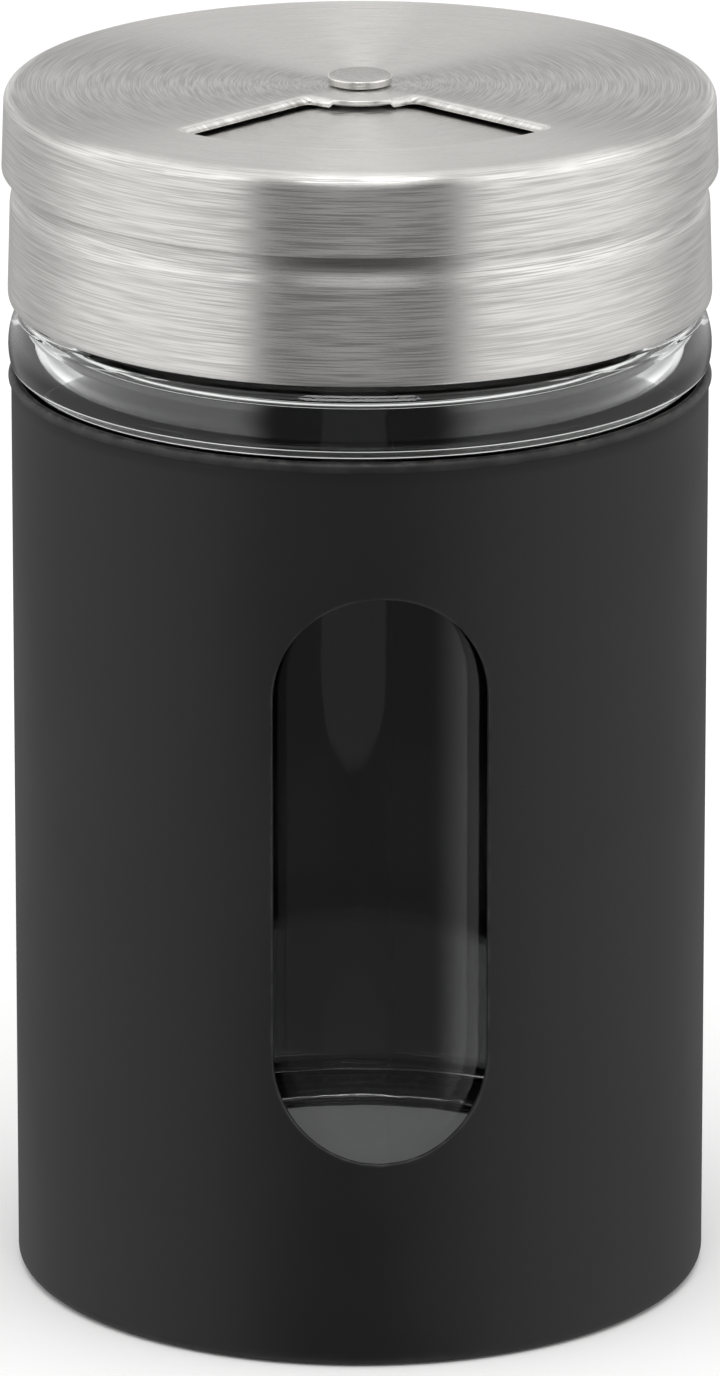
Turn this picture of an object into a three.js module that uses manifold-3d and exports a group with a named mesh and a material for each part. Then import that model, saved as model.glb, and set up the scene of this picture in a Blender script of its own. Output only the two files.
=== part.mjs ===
// Glass spice shaker in a steel sleeve, with a screw cap and a turning dial.
//
// Units are millimetres, +Z is up. The origin is the middle of the sleeve's underside,
// so the object stands on the plane z = 0. The sleeve's window faces -Y.
// Every height below is measured from that plane, every radius from the Z axis.

import * as THREE from 'three';
import { mergeVertices } from 'three/addons/utils/BufferGeometryUtils.js';
import Module from 'manifold-3d';

const wasm = await Module();
wasm.setup();

// ---------------------------------------------------------------- driving dimensions

const ROUND_STEPS = 48; // facets round the large pieces
const INNER_STEPS = 40; // facets round the hidden rings
const SMALL_STEPS = 20; // facets round the rivet and its washers
const CLEARANCE = 0.3; // gap between pieces that touch on the real object
const TURN = 2 * Math.PI;

const SLEEVE = {
  radius: 30.35,
  wall: 0.5,
  height: 81.6,
  cornerRadius: 1.2,
  beadRadius: 0.5, // rolled rim
  flangeInner: 26,
  flangeThickness: 0.6,
};

const WINDOW = { halfWidth: 9.3, bottom: 18.6, top: 69.5 };

const SEAM = { azimuth: THREE.MathUtils.degToRad(83.5), width: 3.1, thickness: 0.4 };

const JAR = {
  radius: 29.1,
  innerRadius: 26.7,
  foot: SLEEVE.flangeThickness + CLEARANCE,
  cornerRadius: 2.5,
  floor: 8.2,
  floorCorner: 0.9,
  puntDepth: 0.9,
  puntRadius: 23,
  ringRadius: 30.6, // glass ring that shows between sleeve and cap
  ringHeight: 84, // its widest place
  ringBulge: 6, // radius of its bulging side
  innerShoulder: 85, // where the inner wall starts to narrow to the mouth
  shoulder: 88.8,
  neckRadius: 26.5,
  mouthRadius: 24,
  rim: 101.8,
  rimRounding: 0.8,
};

const THREAD = {
  pitch: 4.2,
  turns: 1.25,
  depth: 1.2,
  baseWidth: 1.8,
  crestWidth: 0.8,
  jarStart: 93,
  stepsPerTurn: 36,
  fadeSteps: 4,
  root: 0.5, // how far a ridge is sunk in its wall
};

const CAP = {
  top: 105.8,
  sheet: 0.45,
  upperRadius: 30,
  cornerRadius: 0.8,
  stepTop: 98.1,
  stepBottom: 96.4,
  skirtTopRadius: 30.36,
  skirtRadius: 30.58,
  bottom: 88.3,
  hem: 0.9, // height of the turned-in lower edge
  pivotHole: 1.9,
};

const INSERT = {
  radius: CAP.upperRadius - CAP.sheet - CLEARANCE,
  rootRadius: 28.1,
  bottom: 89.5,
  top: CAP.top - CAP.sheet - CLEARANCE,
  flange: 1.1,
  flangeInner: 25,
};

const DIAL = {
  top: 106.9,
  sheet: 0.4,
  upperRadius: 30.85,
  lowerRadius: 31.05,
  cornerRadius: 1.3,
  bottom: 99.7,
  hem: 0.45,
  lipDepth: 0.75, // from the dial's top to the lip's lower edge
  pivotHole: 1.9,
};

const FAN = {
  innerRadius: 5.95,
  outerRadius: 21.7,
  halfAngle: THREE.MathUtils.degToRad(44.9),
  apex: 0.62, // the straight sides meet this far behind the axis
  turn: -2, // degrees that the dial stands off the window's middle when it is shut
  fillet: 1.1,
  notchWidth: 5.2, // gap in the lip at the middle of the inner edge
};

const RIVET = { shank: 1.55, head: 2.81, headBottom: 107.09, headTop: 107.77, tail: 2.7, tailThickness: 0.6 };

const GLIDE_WASHER = { inner: 1.9, outer: 4.6, thickness: 0.22 };
const BACKING_WASHER = { inner: 1.9, outer: 4.6, thickness: 0.3 };

// Hole sectors in the cap's plate. The front sector (-Y) is blank: it closes the shaker.
const FINE_HOLES = { azimuth: 0, radius: 0.85, rows: [[10, 3], [13, 4], [16, 5], [19, 6]] };
const COARSE_HOLES = { azimuth: Math.PI, radius: 1.4, rows: [[10.5, 2], [14.6, 3], [18.8, 4]] };
const HOLE_SECTOR = THREE.MathUtils.degToRad(66); // angle that a row of holes spans
const POUR = { azimuth: Math.PI / 2, inner: 9.5, outer: 20.5, halfAngle: THREE.MathUtils.degToRad(34) };

// ---------------------------------------------------------------- materials

function metal(colour, roughness) {
  return new THREE.MeshStandardMaterial({ color: colour, roughness, metalness: 1 });
}

function dielectric(colour, roughness, opacity = 1) {
  return new THREE.MeshStandardMaterial({
    color: colour, roughness, metalness: 0, opacity, transparent: opacity < 1,
  });
}

const MATERIALS = {
  sleeve: () => dielectric(0x1d1e1f, 0.55),
  glass: () => dielectric(0xe6eeec, 0.04, 0.35),
  cap: () => metal(0xb9b6b0, 0.34),
  dial: () => metal(0xbcb9b4, 0.32),
  rivet: () => metal(0xb5b2ad, 0.3),
  washer: () => metal(0xa9a7a3, 0.4),
  insert: () => dielectric(0xe9e8e3, 0.45),
  seal: () => dielectric(0xd9dad6, 0.6),
};

// ---------------------------------------------------------------- geometry helpers

// Points on a circle arc in a profile, angles in degrees, both ends included.
function arc(centreR, centreZ, radius, from, to, steps) {
  return Array.from({ length: steps + 1 }, (_, i) => {
    const angle = THREE.MathUtils.degToRad(from + ((to - from) * i) / steps);
    return [centreR + radius * Math.cos(angle), centreZ + radius * Math.sin(angle)];
  });
}

// Welds vertices and drops the slivers that have no area.
function weld(geometry) {
  const bare = geometry.clone();
  bare.deleteAttribute('normal');
  bare.deleteAttribute('uv');
  const welded = mergeVertices(bare, 1e-4);
  const index = welded.index.array;
  const kept = [];
  for (let i = 0; i < index.length; i += 3) {
    const [a, b, c] = [index[i], index[i + 1], index[i + 2]];
    if (a !== b && b !== c && c !== a) kept.push(a, b, c);
  }
  welded.setIndex(kept);
  return welded;
}

// Six times the volume that an indexed mesh encloses, negative when it is inside out.
function signedVolume(position, index) {
  const [a, b, c] = [new THREE.Vector3(), new THREE.Vector3(), new THREE.Vector3()];
  let volume = 0;
  for (let i = 0; i < index.length; i += 3) {
    a.fromBufferAttribute(position, index[i]);
    b.fromBufferAttribute(position, index[i + 1]);
    c.fromBufferAttribute(position, index[i + 2]);
    volume += a.dot(b.cross(c));
  }
  return volume;
}

// A closed geometry as a manifold solid with its faces pointing out.
function solid(geometry) {
  const welded = weld(geometry);
  const triVerts = Uint32Array.from(welded.index.array);
  if (signedVolume(welded.attributes.position, triVerts) < 0) triVerts.reverse();
  const vertProperties = Float32Array.from(welded.attributes.position.array);
  return new wasm.Manifold(new wasm.Mesh({ numProp: 3, vertProperties, triVerts }));
}

function named(name, body, material) {
  const mesh = body.getMesh();
  const geometry = new THREE.BufferGeometry();
  geometry.setAttribute('position', new THREE.BufferAttribute(Float32Array.from(mesh.vertProperties), 3));
  geometry.setIndex(Array.from(mesh.triVerts));
  geometry.computeVertexNormals();
  const node = new THREE.Mesh(geometry, material);
  node.name = name;
  return node;
}

// A profile of [radius, height] points turned about Z. It starts and ends on the axis.
function turned(profile, steps) {
  const points = profile.map(([r, z]) => new THREE.Vector2(r, z));
  return solid(new THREE.LatheGeometry(points, steps).rotateX(Math.PI / 2));
}

// The same for a ring: the profile closes on itself.
function turnedRing(profile, steps) {
  return turned([...profile, profile[0]], steps);
}

function prism(shape, bottom, top, curveSegments = 24) {
  const settings = { depth: top - bottom, bevelEnabled: false, curveSegments };
  return solid(new THREE.ExtrudeGeometry(shape, settings).translate(0, 0, bottom));
}

function washer({ inner, outer, thickness }, middle, steps) {
  const [low, high] = [middle - thickness / 2, middle + thickness / 2];
  return turnedRing([[inner, low], [outer, low], [outer, high], [inner, high]], steps);
}

// A sector of a ring as an outline, centred on an azimuth.
function ringSector(inner, outer, azimuth, halfAngle) {
  const shape = new THREE.Shape();
  shape.absarc(0, 0, outer, azimuth - halfAngle, azimuth + halfAngle, false);
  shape.absarc(0, 0, inner, azimuth + halfAngle, azimuth - halfAngle, true);
  shape.closePath();
  return shape;
}

// A thread ridge as a closed helical bar. side is +1 for a ridge that stands out of its
// wall and -1 for one that stands in; the ridge rises out of the wall at both ends.
function threadRidge(wallRadius, side, startHeight) {
  const steps = Math.round(THREAD.turns * THREAD.stepsPerTurn);
  const positions = [];
  for (let i = 0; i <= steps; i++) {
    const angle = (TURN * i) / THREAD.stepsPerTurn;
    const middle = startHeight + (THREAD.pitch * i) / THREAD.stepsPerTurn;
    const fade = Math.min(1, (i + 0.2) / THREAD.fadeSteps, (steps - i + 0.2) / THREAD.fadeSteps);
    const crest = wallRadius + side * THREAD.depth * fade;
    const root = wallRadius - side * THREAD.root;
    const section = [
      [root, -THREAD.baseWidth / 2], [crest, -THREAD.crestWidth / 2],
      [crest, THREAD.crestWidth / 2], [root, THREAD.baseWidth / 2],
    ];
    for (const [r, dz] of section) positions.push(r * Math.cos(angle), r * Math.sin(angle), middle + dz);
  }
  const index = [];
  for (let i = 0; i < steps; i++) {
    for (let j = 0; j < 4; j++) {
      const [a, b] = [4 * i + j, 4 * i + ((j + 1) % 4)];
      index.push(a, b, b + 4, a, b + 4, a + 4);
    }
  }
  const end = 4 * steps;
  index.push(0, 2, 1, 0, 3, 2, end, end + 1, end + 2, end, end + 2, end + 3);
  const geometry = new THREE.BufferGeometry();
  geometry.setAttribute('position', new THREE.Float32BufferAttribute(positions, 3));
  geometry.setIndex(index);
  return solid(geometry);
}

// ---------------------------------------------------------------- sleeve

// Rolled steel tube with an in-turned foot flange and a rolled bead round its top.
function sleeveTube() {
  const { radius, wall, height, cornerRadius, beadRadius, flangeInner, flangeThickness } = SLEEVE;
  const inner = radius - wall;
  const beadR = radius - wall / 2;
  const profile = [
    [flangeInner, 0],
    ...arc(radius - cornerRadius, cornerRadius, cornerRadius, -90, 0, 4),
    ...arc(beadR, height - beadRadius, beadRadius, -60, 240, 10),
    [inner, flangeThickness + wall],
    [inner - wall, flangeThickness],
    [flangeInner, flangeThickness],
  ];
  return turnedRing(profile, ROUND_STEPS);
}

// Round-ended slot, cut straight through the front of the tube.
function windowCutter() {
  const { halfWidth, bottom, top } = WINDOW;
  const shape = new THREE.Shape();
  shape.absarc(0, bottom + halfWidth, halfWidth, Math.PI, TURN, false);
  shape.absarc(0, top - halfWidth, halfWidth, 0, Math.PI, false);
  shape.closePath();
  const settings = { depth: 2 * SLEEVE.radius, bevelEnabled: false, curveSegments: 16 };
  return solid(new THREE.ExtrudeGeometry(shape, settings).rotateX(Math.PI / 2));
}

// Lap of the rolled sheet: a strip of double thickness down the inside of the back.
function lapSeam() {
  const inner = SLEEVE.radius - SLEEVE.wall;
  const halfAngle = SEAM.width / 2 / inner;
  const strip = ringSector(inner - SEAM.thickness, inner + SLEEVE.wall / 2, SEAM.azimuth, halfAngle);
  return prism(strip, SLEEVE.flangeThickness / 2, SLEEVE.height - 2 * SLEEVE.beadRadius, 3);
}

function sleeve() {
  return sleeveTube().subtract(windowCutter()).add(lapSeam());
}

// ---------------------------------------------------------------- jar

// Outer side of the jar from the middle of its base to its rim.
function jarOutside() {
  const { radius, foot, cornerRadius, puntDepth, puntRadius } = JAR;
  const { ringRadius, ringHeight, ringBulge, shoulder } = JAR;
  const { neckRadius, rim, rimRounding } = JAR;
  const footInner = puntRadius + 0.8;
  return [
    [0, foot + puntDepth],
    [puntRadius * 0.7, foot + puntDepth * 0.85],
    [puntRadius - 0.8, foot + puntDepth * 0.6],
    [footInner, foot],
    ...arc(radius - cornerRadius, foot + cornerRadius, cornerRadius, -90, 0, 4),
    [radius, 81.1],
    [radius + 0.2, 81.8],
    [ringRadius - 0.45, 82.3],
    ...arc(ringRadius - ringBulge, ringHeight, ringBulge, -12, 30, 5),
    [ringRadius - 1.2, 87.5],
    [ringRadius - 1.9, 87.9],
    [neckRadius + 0.6, shoulder - 0.35],
    [neckRadius, shoulder],
    ...arc(neckRadius - rimRounding, rim - rimRounding, rimRounding, 0, 90, 3),
  ];
}

// Inner side of the jar from its rim to the middle of its floor.
function jarInside() {
  const { innerRadius, floor, floorCorner, mouthRadius, rim, rimRounding, innerShoulder } = JAR;
  return [
    ...arc(mouthRadius + rimRounding, rim - rimRounding, rimRounding, 90, 180, 3),
    [mouthRadius, innerShoulder + 3.4],
    [mouthRadius + 0.35, innerShoulder + 2.7],
    [innerRadius - 0.4, innerShoulder + 0.35],
    [innerRadius, innerShoulder - 0.2],
    ...arc(innerRadius - floorCorner, floor + floorCorner, floorCorner, 0, -90, 4),
    [0, floor + 0.5],
  ];
}

function glassJar() {
  return turned([...jarOutside(), ...jarInside()], ROUND_STEPS)
    .add(threadRidge(JAR.neckRadius, 1, THREAD.jarStart));
}

// ---------------------------------------------------------------- cap

// Drawn steel shell: flat plate, upper cylinder under the dial, step and lower skirt.
function capDrawn() {
  const { top, sheet, upperRadius, cornerRadius, stepTop, stepBottom } = CAP;
  const { skirtTopRadius, skirtRadius, bottom, hem, pivotHole } = CAP;
  const cornerZ = top - cornerRadius;
  const profile = [
    [pivotHole, top],
    ...arc(upperRadius - cornerRadius, cornerZ, cornerRadius, 90, 0, 4),
    [upperRadius, stepTop],
    [upperRadius + 0.12, stepTop - 0.5],
    [skirtTopRadius - 0.06, stepBottom + 0.35],
    [skirtTopRadius, stepBottom],
    [skirtRadius, bottom + hem],
    [skirtRadius - 0.06, bottom + 0.3],
    [skirtRadius - 0.25, bottom],
    [skirtRadius - sheet - 0.05, bottom + 0.1],
    [skirtRadius - sheet, bottom + hem],
    [skirtTopRadius - sheet, stepBottom],
    [upperRadius - sheet, stepTop - 0.4],
    ...arc(upperRadius - cornerRadius, cornerZ, cornerRadius - sheet, 0, 90, 3),
    [pivotHole, top - sheet],
  ];
  return turnedRing(profile, ROUND_STEPS);
}

// Cutters for the rows of round holes in one sector of the plate.
function holeCutters({ azimuth, radius, rows }) {
  const cutters = [];
  for (const [rowRadius, count] of rows) {
    for (let i = 0; i < count; i++) {
      const angle = azimuth + HOLE_SECTOR * ((i + 0.5) / count - 0.5);
      const drill = new THREE.CylinderGeometry(radius, radius, 4 * CAP.sheet, 10).rotateX(Math.PI / 2);
      drill.translate(rowRadius * Math.cos(angle), rowRadius * Math.sin(angle), CAP.top - CAP.sheet / 2);
      cutters.push(solid(drill));
    }
  }
  return cutters;
}

function capShell() {
  const pour = ringSector(POUR.inner, POUR.outer, POUR.azimuth, POUR.halfAngle);
  const cutters = [...holeCutters(FINE_HOLES), ...holeCutters(COARSE_HOLES)];
  cutters.push(prism(pour, CAP.top - 2 * CAP.sheet, CAP.top + CAP.sheet, 8));
  return cutters.reduce((shell, cutter) => shell.subtract(cutter), capDrawn());
}

// Moulded ring inside the cap, with the female thread and a flange over the seal.
function threadInsert() {
  const { radius, rootRadius, bottom, top, flange, flangeInner } = INSERT;
  const profile = [
    [rootRadius + 0.4, bottom],
    [radius, bottom],
    [radius, top - 0.5],
    [radius - 0.5, top],
    [flangeInner, top],
    [flangeInner, top - flange],
    [rootRadius, top - flange],
    [rootRadius, bottom + 0.4],
  ];
  const start = THREAD.jarStart - THREAD.pitch / 2;
  return turnedRing(profile, INNER_STEPS).add(threadRidge(rootRadius, -1, start));
}

// Flat ring between the jar's rim and the insert's flange.
function sealRing() {
  const low = JAR.rim + CLEARANCE;
  const high = INSERT.top - INSERT.flange - CLEARANCE;
  const size = { inner: JAR.mouthRadius + 0.3, outer: INSERT.rootRadius - CLEARANCE, thickness: high - low };
  return washer(size, (low + high) / 2, INNER_STEPS);
}

// Headed pin: turned head over the dial, shank, and the upset tail below the plate.
function pivotRivet() {
  const { shank, head, headBottom, headTop, tail, tailThickness } = RIVET;
  const washerBottom = CAP.top - CAP.sheet - CLEARANCE - BACKING_WASHER.thickness;
  const tailTop = washerBottom - CLEARANCE + 0.05;
  const profile = [
    [0, tailTop - tailThickness],
    [tail - 0.25, tailTop - tailThickness],
    [tail, tailTop - tailThickness / 2],
    [tail - 0.15, tailTop],
    [shank, tailTop],
    [shank, headBottom],
    [head - 0.12, headBottom],
    [head, headBottom + 0.12],
    [head, headTop - 0.14],
    [head - 0.14, headTop],
    [0, headTop],
  ];
  return turned(profile, SMALL_STEPS);
}

// ---------------------------------------------------------------- dial

// Outline of the dial's fan opening, made larger all round by grow. Its two sides are
// straight lines from the apex, its ends are arcs about the axis, its corners are rounded.
function fanOutline(grow) {
  const { innerRadius, outerRadius, halfAngle, fillet } = FAN;
  const apex = FAN.apex + grow / Math.sin(halfAngle);
  const along = (radius) => apex * Math.cos(halfAngle) + Math.sqrt(radius ** 2 - (apex * Math.sin(halfAngle)) ** 2);
  const onSide = (side, distance) => new THREE.Vector2(
    side * distance * Math.sin(halfAngle), apex - distance * Math.cos(halfAngle),
  );
  const [inner, outer] = [innerRadius - grow, outerRadius + grow];
  const [near, far] = [along(inner), along(outer)];
  const azimuthOf = (point) => Math.atan2(point.y, point.x);
  const shape = new THREE.Shape();
  const [left, right] = [onSide(-1, far), onSide(1, far)];
  const [leftIn, rightIn] = [onSide(-1, near), onSide(1, near)];
  const [startOut, endOut] = [azimuthOf(left) + fillet / outer, azimuthOf(right) - fillet / outer];
  const [startIn, endIn] = [azimuthOf(rightIn) - fillet / inner, azimuthOf(leftIn) + fillet / inner];
  const rightSide = onSide(1, far - fillet);
  const rightSideIn = onSide(1, near + fillet);
  const leftSideIn = onSide(-1, near + fillet);
  const leftSide = onSide(-1, far - fillet);
  shape.absarc(0, 0, outer, startOut, endOut, false);
  shape.quadraticCurveTo(right.x, right.y, rightSide.x, rightSide.y);
  shape.lineTo(rightSideIn.x, rightSideIn.y);
  shape.quadraticCurveTo(rightIn.x, rightIn.y, inner * Math.cos(startIn), inner * Math.sin(startIn));
  shape.absarc(0, 0, inner, startIn, endIn, true);
  shape.quadraticCurveTo(leftIn.x, leftIn.y, leftSideIn.x, leftSideIn.y);
  shape.lineTo(leftSide.x, leftSide.y);
  shape.quadraticCurveTo(left.x, left.y, outer * Math.cos(startOut), outer * Math.sin(startOut));
  return shape;
}

// Drawn steel disc with a short skirt.
function dialDrawn() {
  const { top, sheet, upperRadius, lowerRadius, cornerRadius, bottom, hem, pivotHole } = DIAL;
  const [cornerR, cornerZ] = [upperRadius - cornerRadius, top - cornerRadius];
  const profile = [
    [pivotHole, top],
    ...arc(cornerR, cornerZ, cornerRadius, 90, 0, 5),
    [lowerRadius, bottom + hem],
    [lowerRadius - 0.12, bottom + 0.1],
    [lowerRadius - 0.3, bottom],
    [lowerRadius - sheet - 0.1, bottom + 0.15],
    [lowerRadius - sheet, bottom + hem],
    ...arc(cornerR, cornerZ, cornerRadius - sheet, 0, 90, 4),
    [pivotHole, top - sheet],
  ];
  return turnedRing(profile, ROUND_STEPS);
}

function dialCover() {
  const { top, sheet, lipDepth } = DIAL;
  const lipBottom = top - lipDepth;
  const collar = prism(fanOutline(sheet), lipBottom, top - sheet / 2, 8);
  const opening = prism(fanOutline(0), lipBottom - 1, top + 1, 8);
  const notch = new THREE.BoxGeometry(FAN.notchWidth, 2 * sheet + 0.6, 2 * (lipDepth - sheet));
  notch.translate(0, -FAN.innerRadius, lipBottom);
  return dialDrawn().add(collar).subtract(opening).subtract(solid(notch)).rotate([0, 0, FAN.turn]);
}

// ---------------------------------------------------------------- assembly

function body() {
  const group = new THREE.Group();
  group.add(named('sleeve', sleeve(), MATERIALS.sleeve()));
  group.add(named('glass_jar', glassJar(), MATERIALS.glass()));
  return group;
}

function lid() {
  const group = new THREE.Group();
  const glideMiddle = (CAP.top + DIAL.top - DIAL.sheet) / 2;
  const backingMiddle = CAP.top - CAP.sheet - CLEARANCE - BACKING_WASHER.thickness / 2;
  group.add(named('cap_shell', capShell(), MATERIALS.cap()));
  group.add(named('thread_insert', threadInsert(), MATERIALS.insert()));
  group.add(named('seal_ring', sealRing(), MATERIALS.seal()));
  group.add(named('pivot_rivet', pivotRivet(), MATERIALS.rivet()));
  group.add(named('glide_washer', washer(GLIDE_WASHER, glideMiddle, SMALL_STEPS), MATERIALS.washer()));
  group.add(named('backing_washer', washer(BACKING_WASHER, backingMiddle, SMALL_STEPS), MATERIALS.washer()));
  group.add(named('dial_cover', dialCover(), MATERIALS.dial()));
  return group;
}

const shaker = new THREE.Group();
shaker.add(body(), lid());

export default shaker;
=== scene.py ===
"""Visual model of a round glass spice shaker in a black steel sleeve.

Sizes are millimetres until a mesh is made, which holds metres. +Z is up, the shaker
stands on z = 0 and its window faces -Y. Heights and outer radii come from the boxes of
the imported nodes; each class holds the finer sizes of its own pieces.
"""

import logging
import math
from dataclasses import dataclass, field
from enum import Enum
from typing import Callable, Optional, Sequence

import bmesh
import bpy
import numpy as np
from mathutils import Euler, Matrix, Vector


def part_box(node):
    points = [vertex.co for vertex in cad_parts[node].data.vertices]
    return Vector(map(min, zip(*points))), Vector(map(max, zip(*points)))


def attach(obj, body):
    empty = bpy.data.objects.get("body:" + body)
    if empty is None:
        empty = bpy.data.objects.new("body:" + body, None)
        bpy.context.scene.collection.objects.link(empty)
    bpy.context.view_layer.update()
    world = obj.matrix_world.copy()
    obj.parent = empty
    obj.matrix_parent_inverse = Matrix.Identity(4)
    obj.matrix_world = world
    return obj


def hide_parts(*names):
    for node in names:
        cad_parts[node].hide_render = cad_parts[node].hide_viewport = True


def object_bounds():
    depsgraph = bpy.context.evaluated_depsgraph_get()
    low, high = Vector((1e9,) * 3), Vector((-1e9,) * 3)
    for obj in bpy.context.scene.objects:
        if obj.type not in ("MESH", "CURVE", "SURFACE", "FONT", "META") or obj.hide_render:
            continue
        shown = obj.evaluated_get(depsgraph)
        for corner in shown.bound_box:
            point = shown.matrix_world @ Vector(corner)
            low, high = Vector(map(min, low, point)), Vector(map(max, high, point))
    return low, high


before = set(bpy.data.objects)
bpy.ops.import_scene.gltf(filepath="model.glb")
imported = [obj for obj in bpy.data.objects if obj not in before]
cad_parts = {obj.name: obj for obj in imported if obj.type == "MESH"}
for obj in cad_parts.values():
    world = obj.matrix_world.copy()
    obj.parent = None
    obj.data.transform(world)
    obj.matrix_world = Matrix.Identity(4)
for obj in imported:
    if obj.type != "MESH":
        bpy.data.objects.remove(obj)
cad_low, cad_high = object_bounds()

log = logging.getLogger("shaker")

Array = np.ndarray
Outline = list[Array]
Point = tuple[float, float]

MM = 0.001
TURN = 2.0 * math.pi
FRONT = math.radians(-90.0)
BACK = math.radians(90.0)
WELD = 2e-7
BAND_LENGTH = 2.5
FINE_SHARE = 0.9
STREAK_LOW, STREAK_HIGH = 0.32, 0.68


# ------------------------------------------------------------------ profiles


def line(start: Point, end: Point, steps: int = 1) -> Array:
    """A straight stretch of a profile: start + share * (end - start), evenly spaced."""
    share = np.linspace(0.0, 1.0, steps + 1)[:, None]
    return (1.0 - share) * np.asarray(start, float) + share * np.asarray(end, float)


def flat(start: Point, end: Point, steps: int = 2, margin: float = 0.15) -> Array:
    """A straight stretch with one more point close to each end, which keeps its shading flat.

    Args:
        start: First point, as radius and height.
        end: Last point.
        steps: Number of even steps between the two close points.
        margin: Distance of the close points from the ends.

    Returns:
        The points, one row each.
    """
    near = min(margin / math.dist(start, end), 0.25)
    inner = np.linspace(near, 1.0 - near, steps + 1)
    share = np.concatenate([[0.0], inner, [1.0]])[:, None]
    return (1.0 - share) * np.asarray(start, float) + share * np.asarray(end, float)


def arc(centre: Point, radius: float, start: float, end: float, steps: int = 6) -> Array:
    """A circle arc in a profile: centre + radius * (cos a, sin a), a from start to end degrees."""
    angle = np.radians(np.linspace(start, end, steps + 1))
    return np.stack(
        [centre[0] + radius * np.cos(angle), centre[1] + radius * np.sin(angle)], 1
    )


def flowing(points: Sequence[Point], steps: int = 6) -> Array:
    """A smooth line through points: a Catmull-Rom cubic over each gap.

    Over a gap from b to c, with neighbours a and d, the point at t is half of
    2b + (c - a) t + (2a - 5b + 4c - d) t^2 + (3b - a - 3c + d) t^3.

    Args:
        points: The points that the line passes.
        steps: Number of steps over each gap.

    Returns:
        The points of the line, one row each.
    """
    given = np.asarray(points, float)
    ends = np.vstack([2 * given[0] - given[1], given, 2 * given[-1] - given[-2]])
    a, b, c, d = ends[:-3], ends[1:-2], ends[2:-1], ends[3:]
    t = np.linspace(0.0, 1.0, steps, endpoint=False)[:, None, None]
    cubic = 0.5 * (
        2 * b + (c - a) * t + (2 * a - 5 * b + 4 * c - d) * t**2
        + (3 * b - a - 3 * c + d) * t**3
    )
    return np.vstack([cubic.transpose(1, 0, 2).reshape(-1, 2), given[-1:]])


def joined(*stretches: Array) -> Array:
    """The stretches one after the other, without the points that repeat their neighbour."""
    points = np.vstack(stretches)
    gap = np.linalg.norm(points - np.roll(points, 1, axis=0), axis=1)
    return points[gap > 1e-6]


# ------------------------------------------------------------------ surfaces


def turned(profile: Array, azimuths: Array, swell: Optional[Array] = None) -> Array:
    """A profile carried round the Z axis.

    The point of row p and column a is ((r + s) cos a, (r + s) sin a, z) for the profile
    point (r, z), the azimuth a and the swell s at that row and column.

    Args:
        profile: Radius and height of each row.
        azimuths: Angle of each column.
        swell: How far each point stands out of the plain turned surface.

    Returns:
        A grid of points: rows, columns, three coordinates.
    """
    radius = np.repeat(profile[:, :1], len(azimuths), axis=1)
    if swell is not None:
        radius = radius + swell
    height = np.repeat(profile[:, 1:], len(azimuths), axis=1)
    return np.stack([radius * np.cos(azimuths), radius * np.sin(azimuths), height], -1)


def even_turn(steps: int, start: float = BACK - TURN) -> Array:
    """Azimuths spaced evenly round one turn."""
    return np.linspace(start, start + TURN, steps, endpoint=False)


def cell_sides(across: Array, up: Array) -> Outline:
    """The four sides of a cell of a grid, each from corner to corner, anticlockwise."""
    return [
        np.stack([across, np.full_like(across, up[0])], 1),
        np.stack([np.full_like(up, across[-1]), up], 1),
        np.stack([across[::-1], np.full_like(across, up[-1])], 1),
        np.stack([np.full_like(up, across[0]), up[::-1]], 1),
    ]


def polar_to_flat(points: Array) -> Array:
    """Azimuth and radius turned into x and y."""
    return np.stack(
        [points[:, 1] * np.cos(points[:, 0]), points[:, 1] * np.sin(points[:, 0])], 1
    )


def resampled(side: Array, steps: int, ease: float = 0.45) -> Array:
    """A dense line cut into steps that are shorter near its two ends.

    The distance share of step s is (1 - ease) s + ease (1 - cos(pi s)) / 2.

    Args:
        side: The dense line, one row for each point.
        steps: Number of steps; the last point is left for the next side.
        ease: How strongly the steps shrink towards the ends.

    Returns:
        One point for each step.
    """
    length = np.concatenate([[0.0], np.cumsum(np.linalg.norm(np.diff(side, axis=0), axis=1))])
    share = np.arange(steps) / steps
    reach = length[-1] * ((1 - ease) * share + ease * (1 - np.cos(np.pi * share)) / 2)
    return np.stack([np.interp(reach, length, side[:, k]) for k in (0, 1)], 1)


@dataclass(frozen=True)
class Slot:
    """Round-ended upright slot. Its coordinates are the distance across and the height."""

    half_width: float
    bottom: float
    top: float

    def sides(self, grow: float) -> Outline:
        """The outline made larger by grow, as four sides that meet in the middle of its ends."""
        low, high = self.bottom + self.half_width, self.top - self.half_width
        reach = self.half_width + grow
        return [
            arc((0, low), reach, 225, 315, 48),
            np.vstack([arc((0, low), reach, 315, 360, 24), arc((0, high), reach, 0, 45, 24)]),
            arc((0, high), reach, 45, 135, 48),
            np.vstack([arc((0, high), reach, 135, 180, 24), arc((0, low), reach, 180, 225, 24)]),
        ]


@dataclass(frozen=True)
class RoundHole:
    """Round hole in a plate, at a distance from the axis on an azimuth."""

    distance: float
    azimuth: float
    radius: float

    def sides(self, grow: float) -> Outline:
        """The circle made larger by grow, as four quarters in x and y."""
        centre = (self.distance * math.cos(self.azimuth), self.distance * math.sin(self.azimuth))
        turn = math.degrees(self.azimuth) - 90.0
        quarters = [(225, 315), (315, 405), (45, 135), (135, 225)]
        return [
            arc(centre, self.radius + grow, a + turn, b + turn, 12) for a, b in quarters
        ]


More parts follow.
